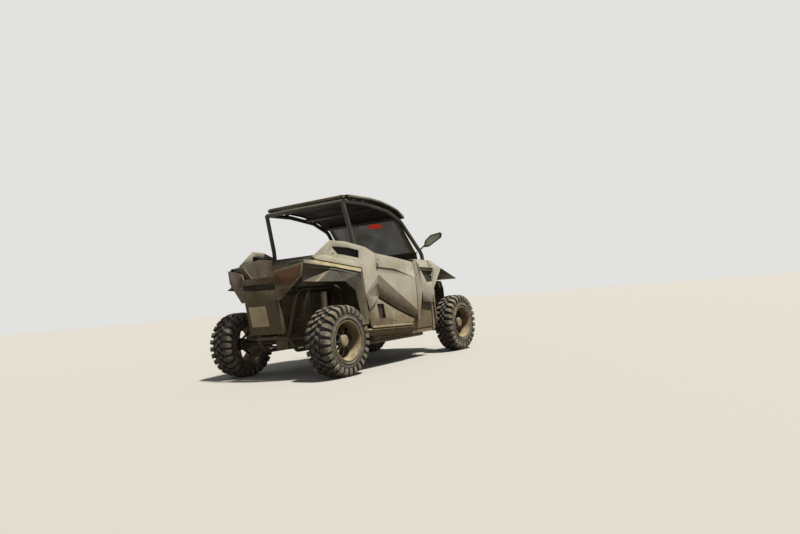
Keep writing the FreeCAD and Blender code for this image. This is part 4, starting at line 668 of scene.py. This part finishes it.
def lamp_glass():
    """The cover and what shows through it: rings for the reflectors with a painted reflection, and patches
    of dust.
    """
    made = Finish("lamp_clear")
    aside = made.work("ABSOLUTE", made.part(made.place, "X"), clamp=False)
    up = made.offset(made.part(made.place, "Z"), bowls_high)
    bowls = 0
    for middle in bowls_across:
        off = made.reach(made.offset(aside, middle), up)
        # Each ring brightens from the bulb outwards: a painted reflection in the bowl.
        painted_bowl_sheen = made.span(off, bulb_radius, bowl_wall, 0.3, 0.8)
        bowls = made.sum(bowls, made.times(made.span(off, bowl_rim, bowl_edge), painted_bowl_sheen))
    film = made.span(made.grain(0.03, 6, 0.65, seed=2.0), 0.42, 0.75, 0.02, 0.6)
    shade = made.blend(bowls, tone(34, 35, 37), tone(206, 208, 208))
    made.colour(made.blend(film, shade, tone(150, 138, 110)))
    made.rough(made.span(film, 0, 0.6, 0.16, 0.8))
    made.join(made.times(bowls, 0.7), made.shader.inputs["Metallic"])
    return made.material


dress(lamp_glass(), "headlamps", edge=0.003)


# Plate: a thin pressed sheet, painted a plain creamy white, that lies flat against the board
# below the tail.
blank_plate = dusted("plate_blank", tone(250, 236, 198), tone(214, 190, 142), bare_rough=0.4, heavy=0.35,
                     low=(0.4, 0.2))
dress(blank_plate, "plate", edge=0.001)


# Seats: foam pads in sewn black vinyl, set on moulded shells. Each pad is its block blown up a
# little inside its own space, and then drawn in along its border seam and its cross channels.
vinyl = dusted("seat_vinyl", tone(38, 37, 36), tone(98, 88, 70), bare_rough=0.5, heavy=0.3, low=(0.7, 0.4))
both_sides = ((1, "left"), (-1, "right"))
pad_shrink, pad_voxel, pad_swell, pad_gap = 0.013, 0.006, 0.012, 0.0008
border_out, channel_pitch, channel_deep, channel_wide = 0.14, 0.075, 0.0055, 0.006
blow_force, blow_frames = 4, 20
cushion_run, back_run = Vector((0, 1, 0)), Vector((0, 0.175, 0.985))


def blown_up(pad):
    """Lets pressure swell a pad's cover, as cloth, by no more than the swell that its foam allows."""
    before = [vert.co.copy() for vert in pad.data.vertices]
    cloth = pad.modifiers.new("cloth", "CLOTH")
    cloth.settings.use_pressure = True
    cloth.settings.uniform_pressure_force = blow_force
    cloth.settings.effector_weights.gravity = 0
    cloth.point_cache.frame_start = 1
    cloth.point_cache.frame_end = blow_frames
    for step in range(1, blow_frames + 1):
        bpy.context.scene.frame_set(step)
    settled(pad)
    bpy.context.scene.frame_set(1)
    for vert, start in zip(pad.data.vertices, before):
        move = vert.co - start
        if move.length > pad_swell:
            vert.co = start + move * (pad_swell / move.length)
    pad.data.update()


def sewn(pad, middle, run, walls):
    """Sinks the border seam and the channels across the pad's run, and keeps it inside its walls."""
    sunk = []
    for vert in pad.data.vertices:
        aside = abs(vert.co.x - middle.x)
        along = (vert.co - middle).dot(run)
        off = abs(aside - border_out)
        if aside < border_out:
            off = min(off, abs((along + channel_pitch / 2) % channel_pitch - channel_pitch / 2))
        sunk.append(vert.co - vert.normal * channel_deep * math.exp(-(off / channel_wide) ** 2))
    for vert, place in zip(pad.data.vertices, sunk):
        for corner, outward in walls:
            over = (place - corner).dot(outward) + pad_gap
            if over > 0:
                place = place - outward * over
        vert.co = place


def swollen(name, node, side, run):
    """A pad in the space of one side's CAD block, its channels crossing the direction of its run."""
    block = bmesh.new()
    block.from_mesh(nodes[node].data)
    bmesh.ops.remove_doubles(block, verts=block.verts, dist=0.0001)
    far = [vert for vert in block.verts if vert.co.x * side < 0]
    bmesh.ops.delete(block, geom=far, context="VERTS")
    block.normal_update()
    walls = [(face.verts[0].co.copy(), face.normal.copy()) for face in block.faces]
    middle = sum((vert.co for vert in block.verts), Vector()) / len(block.verts)
    drawn = [vert.co - vert.normal * vert.calc_shell_factor() * pad_shrink for vert in block.verts]
    for vert, place in zip(block.verts, drawn):
        vert.co = place
    pad = put(name, as_mesh(block, name), vinyl)
    remesh = pad.modifiers.new("remesh", "REMESH")
    remesh.mode = "VOXEL"
    remesh.voxel_size = pad_voxel
    soften = pad.modifiers.new("soften", "SMOOTH")
    soften.iterations = 14
    settled(pad)
    blown_up(pad)
    sewn(pad, middle, run, walls)
    pad.data.shade_smooth()
    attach(pad, "chassis")
    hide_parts(node)


for side, word in both_sides:
    swollen(f"padded_cushion_{word}", "seat_cushions", side, cushion_run)
    swollen(f"padded_back_{word}", "seat_backs", side, back_run)


# Steering wheel: soft black rubber moulded over a three-spoke steel frame, with a little dust
# worn into it.
grip = dusted("grip_rubber", tone(36, 36, 36), tone(90, 84, 70), bare_rough=0.6, heavy=0.3)
dress(grip, "steering_wheel", edge=0)


# Radiator shroud: a dark plastic screen close behind the grille's bars and a baffle that leans back
# from the fascia's top to the hood, so that neither opening shows what lies behind the nose.
fascia_along, fascia_high, fascia_lean, fascia_drop = -1.366, 0.900, 0.114, 0.340
screen_half, screen_foot, screen_top, screen_deep = 0.228, 0.632, 0.866, 0.0262
sheet_thick = 0.003


def slabs(name, outlines, thick):
    """Closed plates of dark plastic from flat outlines, each thickened along its own normal."""
    made = bmesh.new()
    for outline in outlines:
        corners = [Vector(corner) for corner in outline]
        off = (corners[1] - corners[0]).cross(corners[2] - corners[1]).normalized() * thick
        rings = [[made.verts.new(corner + shift) for corner in corners] for shift in (Vector(), off)]
        join_rings(made, rings)
    bmesh.ops.recalc_face_normals(made, faces=made.faces)
    plates = put(name, as_mesh(made, name), matt)
    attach(plates, "chassis")


def on_screen(across, up):
    """A place on the screen, at its even depth behind the fascia's sloping face."""
    return (across, fascia_along - (fascia_high - up) * fascia_lean / fascia_drop + screen_deep, up)


def both_halves(half):
    """A whole outline from its left half, given as places across, along and up."""
    return half + [(-across, along, up) for across, along, up in half[::-1]]


screen = both_halves([on_screen(screen_half, screen_foot), on_screen(screen_half, screen_top)])
baffle = both_halves([(0.33, -1.351, 0.872), (0.36, -1.303, 0.916), (0.23, -1.303, 0.944)])
slabs("radiator_shroud", [screen, baffle], sheet_thick)


# Windscreen seal: a rubber channel round the pane's lower edge, on a black apron that closes the
# space down to the dash and the fenders.
seal_front, apron_front, seal_thick = -0.592, -0.590, 0.016
seal = both_halves([(0.538, seal_front, 1.2215), (0.538, seal_front, 1.2405)])
apron = both_halves([(0.540, apron_front, 1.2225), (0.552, apron_front, 1.1495),
                     (0.396, apron_front, 1.1590), (0.386, apron_front, 1.1345)])
slabs("windscreen_seal", [seal], seal_thick)
slabs("windscreen_apron", [apron], sheet_thick)


# Mirror glasses: a thin silvered plate let into the rear face of each mirror's blade, with its
# visible edge ground off.
silver = dusted("mirror_glass", tone(128, 132, 118), tone(150, 140, 112), bare_rough=0.12, heavy=0.25,
                ledge=0.2, low_share=0.0, fine=0.6, metal=1.0)
blade = [(0.652, 1.291), (0.720, 1.290), (0.896, 1.378), (0.908, 1.420), (0.892, 1.432), (0.764, 1.414),
         (0.684, 1.361)]
glass_share, glass_back, glass_face, glass_edge = 0.84, -0.5852, -0.5836, 0.0006
centre = Vector((sum(across for across, up in blade), sum(up for across, up in blade))) / len(blade)
inset = [centre + (Vector(corner) - centre) * glass_share for corner in blade]
for side, word in both_sides:
    made = bmesh.new()
    rings = [[made.verts.new((corner.x * side, depth, corner.y)) for corner in inset]
             for depth in (glass_back, glass_face)]
    join_rings(made, rings)
    bmesh.ops.recalc_face_normals(made, faces=made.faces)
    ground = [edge for edge in made.edges if all(vert in rings[1] for vert in edge.verts)]
    bmesh.ops.bevel(made, geom=ground, offset=glass_edge, segments=1, affect="EDGES")
    glass = put(f"mirror_glass_{word}", as_mesh(made, f"mirror_glass_{word}"), silver)
    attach(glass, "chassis")


# Fasteners: steel button-head screws with a washer, where each panel is held to its brackets.
# Each is seated on the panel by a ray, so it follows the panel's own slope.
head_sides, ray_start = 12, 0.4


def screw_head():
    """A washer, a rounded head and the socket in it, as rings of radius and height."""
    made = bmesh.new()
    rings = []
    for radius, high in ((0.0092, -0.001), (0.0092, 0.0008), (0.0068, 0.0010), (0.0064, 0.0030),
                         (0.0040, 0.0043), (0.0026, 0.0043), (0.0024, 0.0022)):
        angles = [math.tau * step / head_sides for step in range(head_sides)]
        rings.append([made.verts.new((radius * math.cos(angle), radius * math.sin(angle), high))
                      for angle in angles])
    join_rings(made, rings)
    bmesh.ops.recalc_face_normals(made, faces=made.faces)
    return as_mesh(made, "screw")


def screw_tree():
    """A screw head on each point, its shank along the point's own outward direction."""
    tree = new_rule("screws", [("Screw", "Object"), ("Steel", "Material")])
    build, join = tree.nodes.new, tree.links.new
    given = build("NodeGroupInput").outputs
    points = build("GeometryNodeMeshToPoints")
    join(given["Geometry"], points.inputs["Mesh"])
    outward = build("GeometryNodeInputNamedAttribute")
    outward.data_type = "FLOAT_VECTOR"
    outward.inputs["Name"].default_value = "outward"
    turned = build("FunctionNodeAlignRotationToVector")
    turned.axis = "Z"
    join(outward.outputs["Attribute"], turned.inputs["Vector"])
    heads = copies_on(tree, points.outputs[0], given["Screw"], turned.outputs[0])
    return end_rule(tree, heads, given["Steel"])


def screws(name, panel, way, places, held_by="chassis", sides=(1, -1)):
    """Screw heads where rays along one way first meet a panel, on each of the given sides.

    A place is across, along and up, as on the left side, and close to where the ray meets the panel.
    """
    skin = nodes[panel].data
    wall = BVHTree.FromPolygons([vert.co for vert in skin.vertices],
                                [tuple(face.vertices) for face in skin.polygons])
    found = []
    for side in sides:
        heading = Vector((way[0] * side, way[1], way[2]))
        for across, along, up in places:
            start = Vector((across * side, along, up)) - heading * ray_start
            spot, square = wall.ray_cast(start, heading)[:2]
            if spot is not None:
                found.append((spot, square if square.dot(heading) < 0 else -square))
    dots = bpy.data.meshes.new(name)
    dots.from_pydata([tuple(spot) for spot, square in found], [], [])
    outward = dots.attributes.new("outward", "FLOAT_VECTOR", "POINT")
    for index, (spot, square) in enumerate(found):
        outward.data[index].vector = square
    heads = put(name, dots)
    follow(heads, screw_rule, {"Screw": screw_blank, "Steel": bare})
    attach(heads, held_by)


screw_rule = screw_tree()
screw_blank = put("screw_blank", screw_head())
inward, ahead, down = (-1, 0, 0), (0, -1, 0), (0, 0, -1)
screws("screws_flares", "rear_flares", inward,
       [(0.7, 0.83, 0.925), (0.7, 1.0, 0.95), (0.66, 1.16, 0.965), (0.6, 1.31, 0.985),
        (0.76, 0.775, 0.70), (0.76, 0.765, 0.53)])
screws("screws_quarters", "quarters", inward,
       [(0.75, 0.69, 0.57), (0.75, 0.63, 0.45), (0.75, 0.30, 0.43), (0.75, -0.02, 0.42),
        (0.7, 0.74, 0.93), (0.6, 1.0, 1.205)])
screws("screws_fenders", "fenders", inward,
       [(0.75, -0.385, 0.66), (0.75, -0.555, 0.66), (0.75, -0.30, 0.55), (0.75, -0.265, 0.96),
        (0.75, -0.35, 1.075), (0.7, -0.62, 1.065)])
screws("screws_sills", "sills", inward, [(0.75, 0.60, 0.37), (0.75, 0.25, 0.365), (0.75, -0.08, 0.36)])
screws("screws_tail", "tail_panel", ahead, [(0.19, 1.5, 0.97), (0.16, 1.5, 0.80)])
screws("screws_hanger", "plate_hanger", ahead, [(0.195, 1.5, 0.70), (0.20, 1.45, 0.50)])
screws("screws_roof", "roof", down,
       [(0.50, 0.62, 1.9), (0.52, 0.35, 1.9), (0.52, 0.05, 1.9), (0.52, -0.20, 1.8)])
screws("screws_hood", "hood", down, [(0.34, -0.66, 1.3), (0.36, -0.90, 1.2), (0.28, -1.27, 1.1)])
for side, word in both_sides:
    screws(f"screws_door_{word}", f"door_{word}", inward,
           [(0.75, 0.45, 1.13), (0.75, -0.17, 1.03), (0.75, 0.45, 0.80)], f"door_{word}", (side,))
bpy.data.objects.remove(screw_blank)


# Harnesses: flat woven webbing from the cage's cross tube over each seat's back and down to the
# middle of the lap, with lap straps down to the shell's sides, left fastened over the empty seat.
web = dusted("webbing", tone(46, 45, 44), tone(118, 108, 86), bare_rough=0.8, heavy=0.4, ledge=0.3,
             low=(0.9, 0.5))
seat_across, web_half_thick = 0.32, 0.0009
shoulder_wide, shoulder_out = 0.048, 0.075
lap_wide, lap_out = 0.046, 0.236
back_foot, back_lean, back_low, back_tall = 0.3615, 0.134, 0.581, 0.634
lap_high = 0.5795


def smooth_path(points, steps=7):
    """Places along a path that turns smoothly through its points."""
    path = []
    padded = [points[0]] + list(points) + [points[-1]]
    for index in range(1, len(padded) - 2):
        a, b, c, d = (Vector(padded[index + shift]) for shift in (-1, 0, 1, 2))
        for step in range(steps):
            t = step / steps
            bend = (2 * a - 5 * b + 4 * c - d) * t ** 2 + (3 * b - a - 3 * c + d) * t ** 3
            path.append(0.5 * ((2 * b) + (c - a) * t + bend))
    path.append(Vector(points[-1]))
    return path


def webbing(name, points, wide, aside):
    """A flat strap along a smooth path, its width lying in one direction all the way."""
    path = smooth_path(points)
    aside = Vector(aside).normalized()
    half = aside * wide / 2
    made = bmesh.new()
    rings = []
    for index, here in enumerate(path):
        run = (path[min(index + 1, len(path) - 1)] - path[max(index - 1, 0)]).normalized()
        thick = run.cross(aside).normalized() * web_half_thick
        corners = [here + half * a + thick * b for a, b in ((-1, -1), (1, -1), (1, 1), (-1, 1))]
        rings.append([made.verts.new(corner) for corner in corners])
    join_rings(made, rings)
    bmesh.ops.recalc_face_normals(made, faces=made.faces)
    strap = put(name, as_mesh(made, name), web)
    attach(strap, "chassis")


for side, word in both_sides:
    middle = seat_across * side
    for strand, name in ((-1, "inner"), (1, "outer")):
        out = side * strand
        over = middle + out * shoulder_out
        shoulder = [(over, 0.672, 1.207), (over, 0.628, 1.221), (over, 0.560, 1.222), (over, 0.4965, 1.223)]
        for drawn_in, up in ((0.0, 1.12), (0.004, 0.98), (0.012, 0.84), (0.022, 0.70)):
            shoulder.append((over - out * drawn_in, back_foot + back_lean * (up - back_low) / back_tall, up))
        shoulder += [(middle + out * 0.042, 0.325, 0.600), (middle + out * 0.020, 0.255, lap_high)]
        webbing(f"shoulder_strap_{name}_{word}", shoulder, shoulder_wide, (1, 0, 0))
        lap = [(middle + out * lap_out, 0.36, 0.50), (middle + out * lap_out, 0.33, 0.565),
               (middle + out * 0.20, 0.30, lap_high), (middle + out * 0.03, 0.235, lap_high)]
        webbing(f"lap_strap_{name}_{word}", lap, lap_wide, (0, 1, 0.1))
